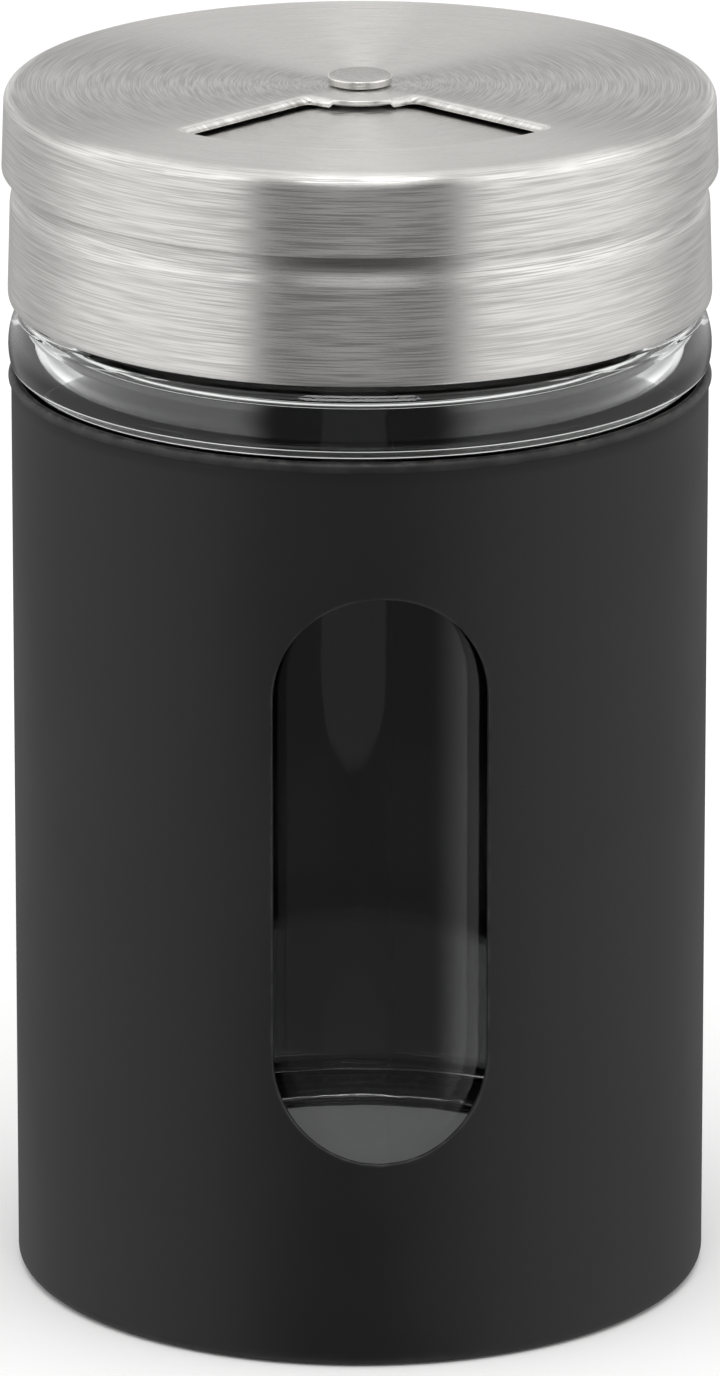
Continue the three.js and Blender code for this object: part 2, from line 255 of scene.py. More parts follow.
@dataclass(frozen=True)
class Fan:
    """Fan-shaped hole with rounded corners in a plate.

    Its ends are arcs about the axis and its sides are straight lines that meet a little
    behind it, apex away.
    """

    inner: float
    outer: float
    half_angle: float
    azimuth: float
    fillet: float
    apex: float = 0.0

    def _end(self, radius: float, sign: float, apex: float) -> tuple[Array, Array, float]:
        """A corner, the direction of its straight side, and its azimuth from the middle."""
        lean = math.asin(apex * math.sin(self.half_angle) / radius)
        angle = self.half_angle + lean
        corner = radius * np.array([sign * math.sin(angle), math.cos(angle)])
        return corner, np.array([sign * math.sin(self.half_angle), math.cos(self.half_angle)]), angle

    def local_sides(self, grow: float) -> Outline:
        """The outline made larger by grow, with y outwards through its middle and x across.

        Each corner is a quadratic curve (1 - t)^2 a + 2 t (1 - t) c + t^2 b from a, one
        fillet before the corner c, to b, one fillet after it. A side runs from the middle
        of one such curve to the middle of the next.

        Args:
            grow: Distance by which the outline is moved outwards.

        Returns:
            The four sides, the inner end first.
        """
        apex = self.apex + grow / math.sin(self.half_angle)
        inner, outer = self.inner - grow, self.outer + grow
        ends = [(inner, -1.0), (inner, 1.0), (outer, 1.0), (outer, -1.0)]
        corners, before, after = [], [], []
        for k, (radius, sign) in enumerate(ends):
            corner, outward, angle = self._end(radius, sign, apex)
            trimmed = sign * (angle - self.fillet / radius)
            on_arc = radius * np.array([math.sin(trimmed), math.cos(trimmed)])
            on_side = corner + self.fillet * outward * (1.0 if radius == inner else -1.0)
            corners.append(corner)
            before.append(on_arc if k in (1, 3) else on_side)
            after.append(on_side if k in (1, 3) else on_arc)
        t = np.linspace(0.0, 1.0, 25)[:, None]
        rounds = [
            (1 - t) ** 2 * a + 2 * t * (1 - t) * c + t**2 * b
            for a, c, b in zip(before, corners, after)
        ]
        sides = []
        for k in range(4):
            nxt = (k + 1) % 4
            if k in (0, 2):
                angles = [math.atan2(*after[k]), math.atan2(*before[nxt])]
                sweep = np.linspace(*angles, 61)
                middle = ends[k][0] * np.stack([np.sin(sweep), np.cos(sweep)], 1)
            else:
                middle = line(tuple(after[k]), tuple(before[nxt]), 30)
            sides.append(np.vstack([rounds[k][12:], middle, rounds[nxt][:13]]))
        return sides

    def sides(self, grow: float) -> Outline:
        """The outline made larger by grow, turned to its azimuth, in x and y."""
        outward = np.array([math.cos(self.azimuth), math.sin(self.azimuth)])
        across = np.array([-outward[1], outward[0]])
        return [side[:, :1] * across + side[:, 1:] * outward for side in self.local_sides(grow)]


def opening_rows(
    cell: Outline,
    base: Array,
    outward: Array,
    rim: Array,
    thickness: float,
) -> tuple[Array, Array]:
    """Rows of points from a cell of the wall's outer face, over the rim of a hole, to its inner face.

    A point of a rim row is base + grow * outward. The rows beside the rim are mixed with the
    cell: (1 - share) rim + share cell.

    Args:
        cell: The four sides of the cell.
        base: Points of the hole's outline.
        outward: How each of them moves when the outline grows by one.
        rim: Growth and depth of each row at each point: rows, points, two.
        thickness: Depth of the wall's inner face.

    Returns:
        The rows in the wall's own two coordinates, and their depths.
    """
    border = np.vstack([side[:-1] for side in cell])
    rows = base + rim[..., :1] * outward
    shares = np.array([1.0, 0.62, 0.3, 0.1])[:, None, None]
    lead_in = (1 - shares) * rows[0] + shares * border
    lead_out = ((1 - shares) * rows[-1] + shares * border)[::-1]
    depth = np.concatenate(
        [np.zeros(lead_in.shape[:2]), rim[..., 1], np.full(lead_out.shape[:2], thickness)]
    )
    return np.concatenate([lead_in, rows, lead_out]), depth


def traced(outline: Callable[[float], Outline], cell: Outline) -> tuple[Array, Array]:
    """Points of an outline, one for each border point of its cell, and their growth.

    Args:
        outline: Gives the outline's four sides for a growth.
        cell: The four sides of the cell that the hole lies in.

    Returns:
        The outline's points and the move of each for a growth of one.
    """
    counts = [len(side) - 1 for side in cell]
    plain, grown = (
        np.vstack([resampled(side, n) for side, n in zip(outline(grow), counts)])
        for grow in (0.0, 1.0)
    )
    return plain, grown - plain


def sheet_rim(thickness: float, rounding: float, points: int) -> Array:
    """The rim of a hole punched in sheet: its two edges rounded by the same radius."""
    quarter = np.radians(np.linspace(0, 90, 4))
    grow = rounding * (1 - np.sin(quarter))
    depth = rounding * (1 - np.cos(quarter))
    near = np.array([[3 * rounding, 0.0]])
    upper = np.stack([grow, depth], 1)
    lower = np.stack([grow, thickness - depth], 1)[::-1]
    table = np.vstack([near, upper, lower, near + [0.0, thickness]])
    return np.repeat(table[:, None], points, axis=1)


class Patchwork:
    """Grids of quads that are gathered and welded into one closed mesh."""

    def __init__(self) -> None:
        """Starts empty."""
        self._points: list[Array] = []
        self._quads: list[Array] = []
        self._count = 0

    def add(
        self,
        grid: Array,
        wrap_rows: bool = False,
        wrap_columns: bool = False,
        keep: Optional[Array] = None,
    ) -> None:
        """Adds a grid of points.

        Args:
            grid: Rows, columns, three coordinates.
            wrap_rows: The last row is joined to the first.
            wrap_columns: The last column is joined to the first.
            keep: For each quad, whether it is made.
        """
        rows, columns = grid.shape[:2]
        index = self._count + np.arange(rows * columns).reshape(rows, columns)
        if wrap_rows:
            index = np.vstack([index, index[:1]])
        if wrap_columns:
            index = np.hstack([index, index[:, :1]])
        quads = np.stack([index[:-1, :-1], index[:-1, 1:], index[1:, 1:], index[1:, :-1]], -1)
        self._quads.append(quads[keep] if keep is not None else quads.reshape(-1, 4))
        self._points.append(grid.reshape(-1, 3))
        self._count += rows * columns

    def finish(self, name: str) -> bpy.types.Object:
        """Makes the object: welded, faces outwards, smooth, with its edge and round layers."""
        mesh = bpy.data.meshes.new(name)
        mesh.from_pydata((np.vstack(self._points) * MM).tolist(), [], np.vstack(self._quads).tolist())
        work = bmesh.new()
        work.from_mesh(mesh)
        bmesh.ops.remove_doubles(work, verts=work.verts, dist=WELD)
        loose = [v for v in work.verts if not v.link_faces]
        bmesh.ops.delete(work, geom=loose, context="VERTS")
        bmesh.ops.recalc_face_normals(work, faces=work.faces)
        work.to_mesh(mesh)
        work.free()
        mesh.polygons.foreach_set("use_smooth", np.ones(len(mesh.polygons), bool))
        mesh.update()
        mark_edges(mesh)
        mark_round(mesh)
        piece = bpy.data.objects.new(name, mesh)
        bpy.context.scene.collection.objects.link(piece)
        return piece


def read(collection: bpy.types.bpy_prop_collection, name: str, width: int, kind: type) -> Array:
    """One property of every item of a mesh collection as an array."""
    values = np.zeros(len(collection) * width, kind)
    collection.foreach_get(name, values)
    return values.reshape(-1, width) if width > 1 else values


def mark_edges(mesh: bpy.types.Mesh) -> None:
    """Writes the attribute edge: how sharply the surface bends outwards at each vertex.

    The bend over an edge is the angle between its two faces divided by the distance of
    their middles, counted where the faces fall away from each other. A vertex takes the
    largest bend of its edges, as a share of a 0.3 mm round's.

    Args:
        mesh: The finished mesh.
    """
    total = read(mesh.polygons, "loop_total", 1, np.int32)
    normal = read(mesh.polygons, "normal", 3, np.float32)
    middle = read(mesh.polygons, "center", 3, np.float32)
    edge_of_loop = read(mesh.loops, "edge_index", 1, np.int32)
    face_of_loop = np.repeat(np.arange(len(total)), total)
    order = np.argsort(edge_of_loop, kind="stable")
    counts = np.bincount(edge_of_loop, minlength=len(mesh.edges))
    first = np.cumsum(counts) - counts
    paired = np.flatnonzero(counts == 2)
    one = face_of_loop[order[first[paired]]]
    two = face_of_loop[order[first[paired] + 1]]
    apart = middle[two] - middle[one]
    distance = np.maximum(np.linalg.norm(apart, axis=1), 1e-7)
    angle = np.arccos(np.clip((normal[one] * normal[two]).sum(1), -1, 1))
    outward = (normal[one] * apart).sum(1) < 0
    bend = np.where(outward, angle / distance * 0.3 * MM, 0.0)
    ends = read(mesh.edges, "vertices", 2, np.int32)[paired]
    sharp = np.zeros(len(mesh.vertices), np.float32)
    np.maximum.at(sharp, ends[:, 0], bend)
    np.maximum.at(sharp, ends[:, 1], bend)
    layer = mesh.attributes.new("edge", "FLOAT", "POINT")
    layer.data.foreach_set("value", np.clip(sharp, 0, 1).astype(np.float32))
    log.info("  open edges: %d, triangles: %d", int((counts != 2).sum()), int((total - 2).sum()))


def mark_round(mesh: bpy.types.Mesh) -> None:
    """Writes the UV map round: u is the azimuth in turns, v is radius less height.

    A face that crosses the seam of the azimuth has its low values raised by one turn.

    Args:
        mesh: The finished mesh.
    """
    start = read(mesh.polygons, "loop_start", 1, np.int32)
    total = read(mesh.polygons, "loop_total", 1, np.int32)
    place = read(mesh.vertices, "co", 3, np.float32)[read(mesh.loops, "vertex_index", 1, np.int32)]
    turns = np.arctan2(place[:, 1], place[:, 0]) / TURN
    highest = np.repeat(np.maximum.reduceat(turns, start), total)
    turns = np.where(highest - turns > 0.5, turns + 1.0, turns)
    along = (np.hypot(place[:, 0], place[:, 1]) - place[:, 2]) * 10.0
    layer = mesh.uv_layers.new(name="round")
    layer.data.foreach_set("uv", np.stack([turns, along], 1).astype(np.float32).ravel())


def kept_quads(
    profile: Array, azimuths: Array, holes: Sequence[tuple[Array, Array]], axis: int
) -> Array:
    """Which quads of a closed turned wall stay when cells are cut out of it.

    Args:
        profile: Radius and height of each row.
        azimuths: Angle of each column.
        holes: For each cell, its azimuths and its radii or heights.
        axis: 0 if the cells go by radius, 1 if they go by height.

    Returns:
        A true or false value for each quad.
    """
    along = (profile[:, axis] + np.roll(profile[:, axis], -1)) / 2
    ahead = np.append(azimuths[1:], azimuths[0] + TURN)
    round_ = (azimuths + ahead) / 2
    keep = np.ones((len(profile), len(azimuths)), bool)
    for across, up in holes:
        rows = (along > up[0]) & (along < up[-1])
        columns = (round_ > across[0]) & (round_ < across[-1])
        keep &= ~(rows[:, None] & columns[None, :])
    return keep


def between(values: Array, low: float, high: float) -> Array:
    """The values from low to high, both ends included."""
    return values[(values > low - 1e-6) & (values < high + 1e-6)]


# ------------------------------------------------------------------ shader helpers


class Sheet:
    """Short hand for laying out the nodes of a shader tree."""

    def __init__(self, tree: bpy.types.NodeTree) -> None:
        """Takes the tree to work on."""
        self.tree = tree

    def node(self, kind: str, **settings: object) -> bpy.types.Node:
        """Adds a node and sets its properties."""
        made = self.tree.nodes.new(kind)
        for name, value in settings.items():
            setattr(made, name, value)
        return made

    def feed(self, socket: bpy.types.NodeSocket, value: object) -> None:
        """Links an output to a socket, or sets a plain value on it."""
        if isinstance(value, bpy.types.NodeSocket):
            self.tree.links.new(value, socket)
        else:
            socket.default_value = value

    def maths(self, operation: str, *values: object) -> bpy.types.NodeSocket:
        """The output of a Math node."""
        made = self.node("ShaderNodeMath", operation=operation)
        for socket, value in zip(made.inputs, values):
            self.feed(socket, value)
        return made.outputs[0]

    def vector(self, operation: str, *values: object) -> bpy.types.NodeSocket:
        """The vector output of a Vector Math node, or its value for a length or a product."""
        made = self.node("ShaderNodeVectorMath", operation=operation)
        for socket, value in zip(made.inputs, values):
            self.feed(socket, value)
        return made.outputs["Value" if operation in ("LENGTH", "DOT_PRODUCT") else "Vector"]

    def ranged(
        self, value: object, low: float, high: float, bottom: float, top: float,
        smooth: bool = True,
    ) -> bpy.types.NodeSocket:
        """A value taken from one range to another, smoothly or in a straight line."""
        made = self.node(
            "ShaderNodeMapRange", interpolation_type="SMOOTHSTEP" if smooth else "LINEAR"
        )
        for name, given in (
            ("Value", value), ("From Min", low), ("From Max", high), ("To Min", bottom),
            ("To Max", top),
        ):
            self.feed(made.inputs[name], given)
        return made.outputs["Result"]

    def noise(
        self, place: object, scale: object, detail: float = 2.0, roughness: float = 0.5
    ) -> bpy.types.NodeSocket:
        """The value of a noise texture."""
        made = self.node("ShaderNodeTexNoise", noise_dimensions="3D")
        self.feed(made.inputs["Vector"], place)
        self.feed(made.inputs["Scale"], scale)
        made.inputs["Detail"].default_value = detail
        made.inputs["Roughness"].default_value = roughness
        return made.outputs["Fac"]

    def mixed(self, share: object, first: object, second: object) -> bpy.types.NodeSocket:
        """Two colours mixed by a share."""
        made = self.node("ShaderNodeMix", data_type="RGBA")
        self.feed(made.inputs["Factor"], share)
        colours = [s for s in made.inputs if s.type == "RGBA"]
        self.feed(colours[0], first)
        self.feed(colours[1], second)
        return next(s for s in made.outputs if s.type == "RGBA")

    def place(self) -> bpy.types.NodeSocket:
        """The point on the piece in its own coordinates, in metres."""
        return self.node("ShaderNodeTexCoord").outputs["Object"]


class Effect(Enum):
    """The surface effects that several finishes share."""

    BRUSHING = "turned_brushing"
    GRAIN = "fine_grain"
    # Mask for outward edges: rubbed wear and a painted edge highlight.
    EDGE_WEAR_AND_HIGHLIGHT = "highlight_and_wear_edges"
    DUST = "settled_dust"


class EffectShelf:
    """Makes each shared effect once, as a node group, and places it in materials."""

    def __init__(self) -> None:
        """Starts with no group made."""
        self._groups: dict[Effect, bpy.types.NodeTree] = {}

    def place(self, sheet: Sheet, effect: Effect, **values: float) -> bpy.types.Node:
        """Places an effect in a material.

        Args:
            sheet: The material's tree.
            effect: Which effect.
            **values: Its inputs, with underscores for spaces.

        Returns:
            The group node.
        """
        if effect not in self._groups:
            makers = {
                Effect.BRUSHING: self._brushing,
                Effect.GRAIN: self._grain,
                Effect.EDGE_WEAR_AND_HIGHLIGHT: self._edge_highlight_and_wear,
                Effect.DUST: self._dust,
            }
            self._groups[effect] = makers[effect]()
        made = sheet.node("ShaderNodeGroup", node_tree=self._groups[effect])
        for name, value in values.items():
            made.inputs[name.replace("_", " ")].default_value = value
        return made

    @staticmethod
    def _open(
        effect: Effect, inputs: dict[str, float], outputs: Sequence[str]
    ) -> tuple[Sheet, bpy.types.Node, bpy.types.Node]:
        """A new group with its named inputs and outputs."""
        tree = bpy.data.node_groups.new(effect.value, "ShaderNodeTree")
        for name, value in inputs.items():
            socket = tree.interface.new_socket(name, in_out="INPUT", socket_type="NodeSocketFloat")
            socket.default_value = value
        for name in outputs:
            tree.interface.new_socket(name, in_out="OUTPUT", socket_type="NodeSocketFloat")
        sheet = Sheet(tree)
        return sheet, sheet.node("NodeGroupInput"), sheet.node("NodeGroupOutput")

    def _brushing(self) -> bpy.types.NodeTree:
        """Fine lines round the axis: noise that is long along the azimuth and short across it."""
        inputs = {"Lines": 5200.0, "Length": 2.2, "Bands": 260.0}
        sheet, given, out = self._open(Effect.BRUSHING, inputs, ["Height", "Streak"])
        place = sheet.place()
        level = sheet.vector("MULTIPLY", place, (1.0, 1.0, 0.0))
        radius = sheet.vector("LENGTH", level)
        heading = sheet.vector("NORMALIZE", level)
        split = sheet.node("ShaderNodeSeparateXYZ")
        sheet.feed(split.inputs[0], place)
        across = sheet.maths("SUBTRACT", radius, split.outputs["Z"])
        turns = sheet.node("ShaderNodeSeparateXYZ")
        sheet.feed(turns.inputs[0], heading)

        def lines(density: bpy.types.NodeSocket, length: object, detail: float) -> bpy.types.NodeSocket:
            """Noise on the heading times length, and the distance across times density."""
            spot = sheet.node("ShaderNodeCombineXYZ")
            sheet.feed(spot.inputs[0], sheet.maths("MULTIPLY", turns.outputs["X"], length))
            sheet.feed(spot.inputs[1], sheet.maths("MULTIPLY", turns.outputs["Y"], length))
            sheet.feed(spot.inputs[2], sheet.maths("MULTIPLY", across, density))
            return sheet.noise(spot.outputs[0], 1.0, detail, 0.6)

        fine = lines(given.outputs["Lines"], given.outputs["Length"], 2.0)
        broad = lines(given.outputs["Bands"], BAND_LENGTH, 2.0)
        sheet.feed(out.inputs["Height"], fine)
        share = sheet.maths("MULTIPLY", fine, FINE_SHARE)
        both = sheet.maths("ADD", share, sheet.maths("MULTIPLY", broad, 1.0 - FINE_SHARE))
        sheet.feed(out.inputs["Streak"], sheet.ranged(both, STREAK_LOW, STREAK_HIGH, 0.0, 1.0))
        return sheet.tree

    def _grain(self) -> bpy.types.NodeTree:
        """An even grain of one size, and a slow variation many times larger."""
        sheet, given, out = self._open(
            Effect.GRAIN, {"Scale": 1500.0, "Slow Scale": 60.0}, ["Height", "Slow"]
        )
        place = sheet.place()
        fine = sheet.noise(place, given.outputs["Scale"], 2.0, 0.55)
        slow = sheet.noise(place, given.outputs["Slow Scale"], 3.0, 0.5)
        sheet.feed(out.inputs["Height"], fine)
        sheet.feed(out.inputs["Slow"], sheet.ranged(slow, 0.25, 0.75, 0.0, 1.0))
        return sheet.tree

    def _edge_highlight_and_wear(self) -> bpy.types.NodeTree:
        """Where outward edges are rubbed and get a painted edge highlight: the edge attribute, broken up by
        noise.
        """
        sheet, given, out = self._open(
            Effect.EDGE_WEAR_AND_HIGHLIGHT, {"Amount": 0.6, "Patches": 300.0}, ["Mask"]
        )
        edge = sheet.node("ShaderNodeAttribute", attribute_name="edge")
        patches = sheet.noise(sheet.place(), given.outputs["Patches"], 3.0, 0.6)
        edges_lit_and_worn = sheet.maths("MULTIPLY", edge.outputs["Fac"], sheet.ranged(patches, 0.35, 0.65, 0.25, 1.0))
        sheet.feed(out.inputs["Mask"], sheet.maths("MULTIPLY", edges_lit_and_worn, given.outputs["Amount"]))
        return sheet.tree

    def _dust(self) -> bpy.types.NodeTree:
        """Thin dust on faces that look up: the normal's height times a broken noise."""
        sheet, given, out = self._open(Effect.DUST, {"Amount": 0.2, "Scale": 900.0}, ["Mask"])
        facing = sheet.node("ShaderNodeSeparateXYZ")
        sheet.feed(facing.inputs[0], sheet.node("ShaderNodeNewGeometry").outputs["Normal"])
        up = sheet.ranged(facing.outputs["Z"], 0.3, 0.9, 0.0, 1.0)
        specks = sheet.ranged(
            sheet.noise(sheet.place(), given.outputs["Scale"], 4.0, 0.7), 0.45, 0.7, 0.1, 1.0
        )
        lying = sheet.maths("MULTIPLY", up, specks)
        sheet.feed(out.inputs["Mask"], sheet.maths("MULTIPLY", lying, given.outputs["Amount"]))
        return sheet.tree


EFFECTS = EffectShelf()
Colour = tuple[float, float, float]


def opaque(colour: Colour) -> tuple[float, float, float, float]:
    """A colour with full alpha."""
    return (*colour, 1.0)


def shaded(colour: Colour, factor: float) -> tuple[float, float, float, float]:
    """A colour made lighter or darker by a factor."""
    return opaque(tuple(min(1.0, channel * factor) for channel in colour))


def new_material(name: str) -> tuple[bpy.types.Material, Sheet, bpy.types.Node]:
    """An empty material with its shader: the material, its tree and the shader node."""
    material = bpy.data.materials.new(name)
    material.use_nodes = True
    sheet = Sheet(material.node_tree)
    shader = next(n for n in material.node_tree.nodes if n.type == "BSDF_PRINCIPLED")
    return material, sheet, shader


def add_bump(
    sheet: Sheet, shader: bpy.types.Node, height: bpy.types.NodeSocket, depth: float
) -> None:
    """Raises the surface by a height from 0 to 1 times a depth in millimetres."""
    bump = sheet.node("ShaderNodeBump")
    bump.inputs["Strength"].default_value = 1.0
    bump.inputs["Distance"].default_value = depth * MM
    sheet.feed(bump.inputs["Height"], height)
    sheet.feed(shader.inputs["Normal"], bump.outputs["Normal"])


# ------------------------------------------------------------------ finishes


@dataclass(frozen=True)
class PowderCoat:
    """Matt black powder coat with a fine grain, a little lighter on outward edges: rubbed wear and a painted
    edge highlight.
    """

    name: str
    colour: Colour = (0.0068, 0.0068, 0.0071)
    roughness: float = 0.5
    grain_depth: float = 0.007
    specular: float = 0.3

    def material(self) -> bpy.types.Material:
        """Builds the material."""
        material, sheet, shader = new_material(self.name)
        grain = EFFECTS.place(sheet, Effect.GRAIN, Scale=2600.0, Slow_Scale=45.0)
        edge_wear_and_highlight = EFFECTS.place(sheet, Effect.EDGE_WEAR_AND_HIGHLIGHT, Amount=0.55, Patches=420.0)
        dust = EFFECTS.place(sheet, Effect.DUST, Amount=0.25)
        tone = sheet.mixed(grain.outputs["Slow"], shaded(self.colour, 0.88), shaded(self.colour, 1.14))
        # Outward edges are mixed towards a much lighter black: partly rubbed wear, partly a painted highlight
        # on the rounded edges.
        edges_lit_and_worn = sheet.mixed(edge_wear_and_highlight.outputs["Mask"], tone, shaded(self.colour, 6.0))
        dusty = sheet.mixed(dust.outputs["Mask"], edges_lit_and_worn, (0.2, 0.19, 0.18, 1.0))
        sheet.feed(shader.inputs["Base Color"], dusty)
        rough = sheet.ranged(grain.outputs["Slow"], 0.0, 1.0, self.roughness - 0.04, self.roughness + 0.05)
        sheet.feed(
            shader.inputs["Roughness"],
            sheet.maths("SUBTRACT", rough, sheet.maths("MULTIPLY", edge_wear_and_highlight.outputs["Mask"], 0.12)),
        )
        shader.inputs["Specular IOR Level"].default_value = self.specular
        add_bump(sheet, shader, grain.outputs["Height"], self.grain_depth)
        return material


@dataclass(frozen=True)
class BrushedSteel:
    """Stainless steel brushed in circles round the axis."""

    name: str
    colour: Colour = (0.61, 0.602, 0.585)
    roughness: float = 0.4
    spread: float = 0.9
    lines: float = 8000.0
    line_length: float = 4.0
    line_depth: float = 0.006
    streak: float = 0.11
    # Strength of the edge mask: rubbed wear and a painted edge highlight.
    edge_wear_and_highlight: float = 0.7

    def material(self) -> bpy.types.Material:
        """Builds the material."""
        material, sheet, shader = new_material(self.name)
        brush = EFFECTS.place(
            sheet, Effect.BRUSHING, Lines=self.lines, Length=self.line_length, Bands=300.0
        )
        edge_wear_and_highlight = EFFECTS.place(sheet, Effect.EDGE_WEAR_AND_HIGHLIGHT, Amount=self.edge_wear_and_highlight, Patches=260.0)
        dust = EFFECTS.place(sheet, Effect.DUST, Amount=0.05)
        tone = sheet.mixed(brush.outputs["Streak"], shaded(self.colour, 0.85), shaded(self.colour, 1.09))
        # Outward edges and bends are painted lighter: rubbed wear and a painted highlight where they catch the
        # light.
        edges_lit_and_worn = sheet.mixed(edge_wear_and_highlight.outputs["Mask"], tone, shaded(self.colour, 1.55))
        dusty = sheet.mixed(dust.outputs["Mask"], edges_lit_and_worn, (0.5, 0.49, 0.47, 1.0))
        sheet.feed(shader.inputs["Base Color"], dusty)
        rough = sheet.ranged(
            brush.outputs["Streak"], 0.0, 1.0, self.roughness + self.streak, self.roughness - self.streak
        )
        sheet.feed(
            shader.inputs["Roughness"],
            sheet.maths("SUBTRACT", rough, sheet.maths("MULTIPLY", edge_wear_and_highlight.outputs["Mask"], 0.08)),
        )
        shader.inputs["Metallic"].default_value = 1.0
        shader.inputs["Anisotropic"].default_value = self.spread
        shader.inputs["Anisotropic Rotation"].default_value = 0.25
        tangent = sheet.node("ShaderNodeTangent", direction_type="UV_MAP", uv_map="round")
        sheet.feed(shader.inputs["Tangent"], tangent.outputs["Tangent"])
        add_bump(sheet, shader, brush.outputs["Height"], self.line_depth)
        return material


@dataclass(frozen=True)
class PressedGlass:
    """Clear pressed glass with the faint waviness of its mould."""

    name: str
    colour: Colour = (0.965, 0.975, 0.97)
    wave_depth: float = 0.012

    def material(self) -> bpy.types.Material:
        """Builds the material."""
        material, sheet, shader = new_material(self.name)
        grain = EFFECTS.place(sheet, Effect.GRAIN, Scale=170.0, Slow_Scale=40.0)
        tone = sheet.mixed(grain.outputs["Slow"], shaded(self.colour, 0.985), opaque(self.colour))
        sheet.feed(shader.inputs["Base Color"], tone)
        sheet.feed(
            shader.inputs["Roughness"], sheet.ranged(grain.outputs["Slow"], 0.0, 1.0, 0.004, 0.02)
        )
        shader.inputs["IOR"].default_value = 1.51
        shader.inputs["Transmission Weight"].default_value = 1.0
        add_bump(sheet, shader, grain.outputs["Height"], self.wave_depth)
        return material


@dataclass(frozen=True)
class MouldedPlastic:
    """Moulded plastic: even colour, satin surface with a fine spark-eroded grain."""

    name: str
    colour: Colour
    roughness: float = 0.45
    glow: float = 0.15
    clearness: float = 0.0

    def material(self) -> bpy.types.Material:
        """Builds the material."""
        material, sheet, shader = new_material(self.name)
        grain = EFFECTS.place(sheet, Effect.GRAIN, Scale=3000.0, Slow_Scale=90.0)
        edge_wear_and_highlight = EFFECTS.place(sheet, Effect.EDGE_WEAR_AND_HIGHLIGHT, Amount=0.4, Patches=300.0)
        tone = sheet.mixed(grain.outputs["Slow"], shaded(self.colour, 0.95), shaded(self.colour, 1.03))
        # Outward edges are painted a little lighter: rubbed wear and a painted edge highlight.
        edges_lit_and_worn = sheet.mixed(edge_wear_and_highlight.outputs["Mask"], tone, shaded(self.colour, 1.1))
        sheet.feed(shader.inputs["Base Color"], edges_lit_and_worn)
        sheet.feed(
            shader.inputs["Roughness"],
            sheet.ranged(grain.outputs["Slow"], 0.0, 1.0, self.roughness - 0.05, self.roughness + 0.06),
        )
        shader.inputs["Subsurface Weight"].default_value = self.glow
        shader.inputs["Subsurface Radius"].default_value = (0.0012, 0.0011, 0.001)
        shader.inputs["Transmission Weight"].default_value = self.clearness
        add_bump(sheet, shader, grain.outputs["Height"], 0.004)
        return material


@dataclass(frozen=True)
class Backdrop:
    """Pale even floor with a slight tooth."""

    name: str = "pale_floor"
    colour: Colour = (0.92, 0.92, 0.917)

    def material(self) -> bpy.types.Material:
        """Builds the material."""
        material, sheet, shader = new_material(self.name)
        grain = EFFECTS.place(sheet, Effect.GRAIN, Scale=800.0, Slow_Scale=4.0)
        tone = sheet.mixed(grain.outputs["Slow"], shaded(self.colour, 0.995), opaque(self.colour))
        sheet.feed(shader.inputs["Base Color"], tone)
        shader.inputs["Roughness"].default_value = 0.85
        shader.inputs["Specular IOR Level"].default_value = 0.1
        return material


# ------------------------------------------------------------------ pieces


def reach(node: str) -> tuple[float, float, float]:
    """Outer radius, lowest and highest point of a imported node, in millimetres."""
    low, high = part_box(node)
    return high.x / MM, low.z / MM, high.z / MM


def hang(piece: bpy.types.Object, node: str, body: str, material: bpy.types.Material) -> None:
    """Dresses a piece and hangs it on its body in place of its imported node.

    Args:
        piece: The finished piece.
        node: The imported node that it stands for.
        body: The body that it moves with.
        material: Its material.
    """
    piece.data.materials.clear()
    piece.data.materials.append(material)
    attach(piece, body)
    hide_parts(node)
    log.info("%s rides on %s, finish %s", piece.name, body, material.name)


@dataclass
class Thread:
    """Single-start right-hand thread, as a swelling of a turned wall."""

    pitch: float = 4.2
    turns: float = 1.25
    depth: float = 1.2
    base_width: float = 1.9
    crest_width: float = 0.7
    fade_turns: float = 0.11

    def swelling(self, heights: Array, azimuths: Array, start: float) -> Array:
        """How far the ridge stands out of the wall.

        The ridge's middle at turn t is at start + pitch * t. Its height is 1 within the
        crest, falls to 0 at the base and fades in and out along the ridge.

        Args:
            heights: Height of each row.
            azimuths: Angle of each column.
            start: Height of the ridge's lower end.

        Returns:
            A distance for each row and column.
        """
        turn = (azimuths % TURN) / TURN + np.arange(2)[:, None, None]
        off = np.abs(heights[None, :, None] - start - self.pitch * turn)
        slope = np.interp(off, [self.crest_width / 2, self.base_width / 2], [1.0, 0.0])
        round_over = slope * slope * (3 - 2 * slope)
        fade = np.clip(np.minimum(turn, self.turns - turn) / self.fade_turns, 0, 1)
        return self.depth * (round_over * np.sin(fade * math.pi / 2)).max(axis=0)


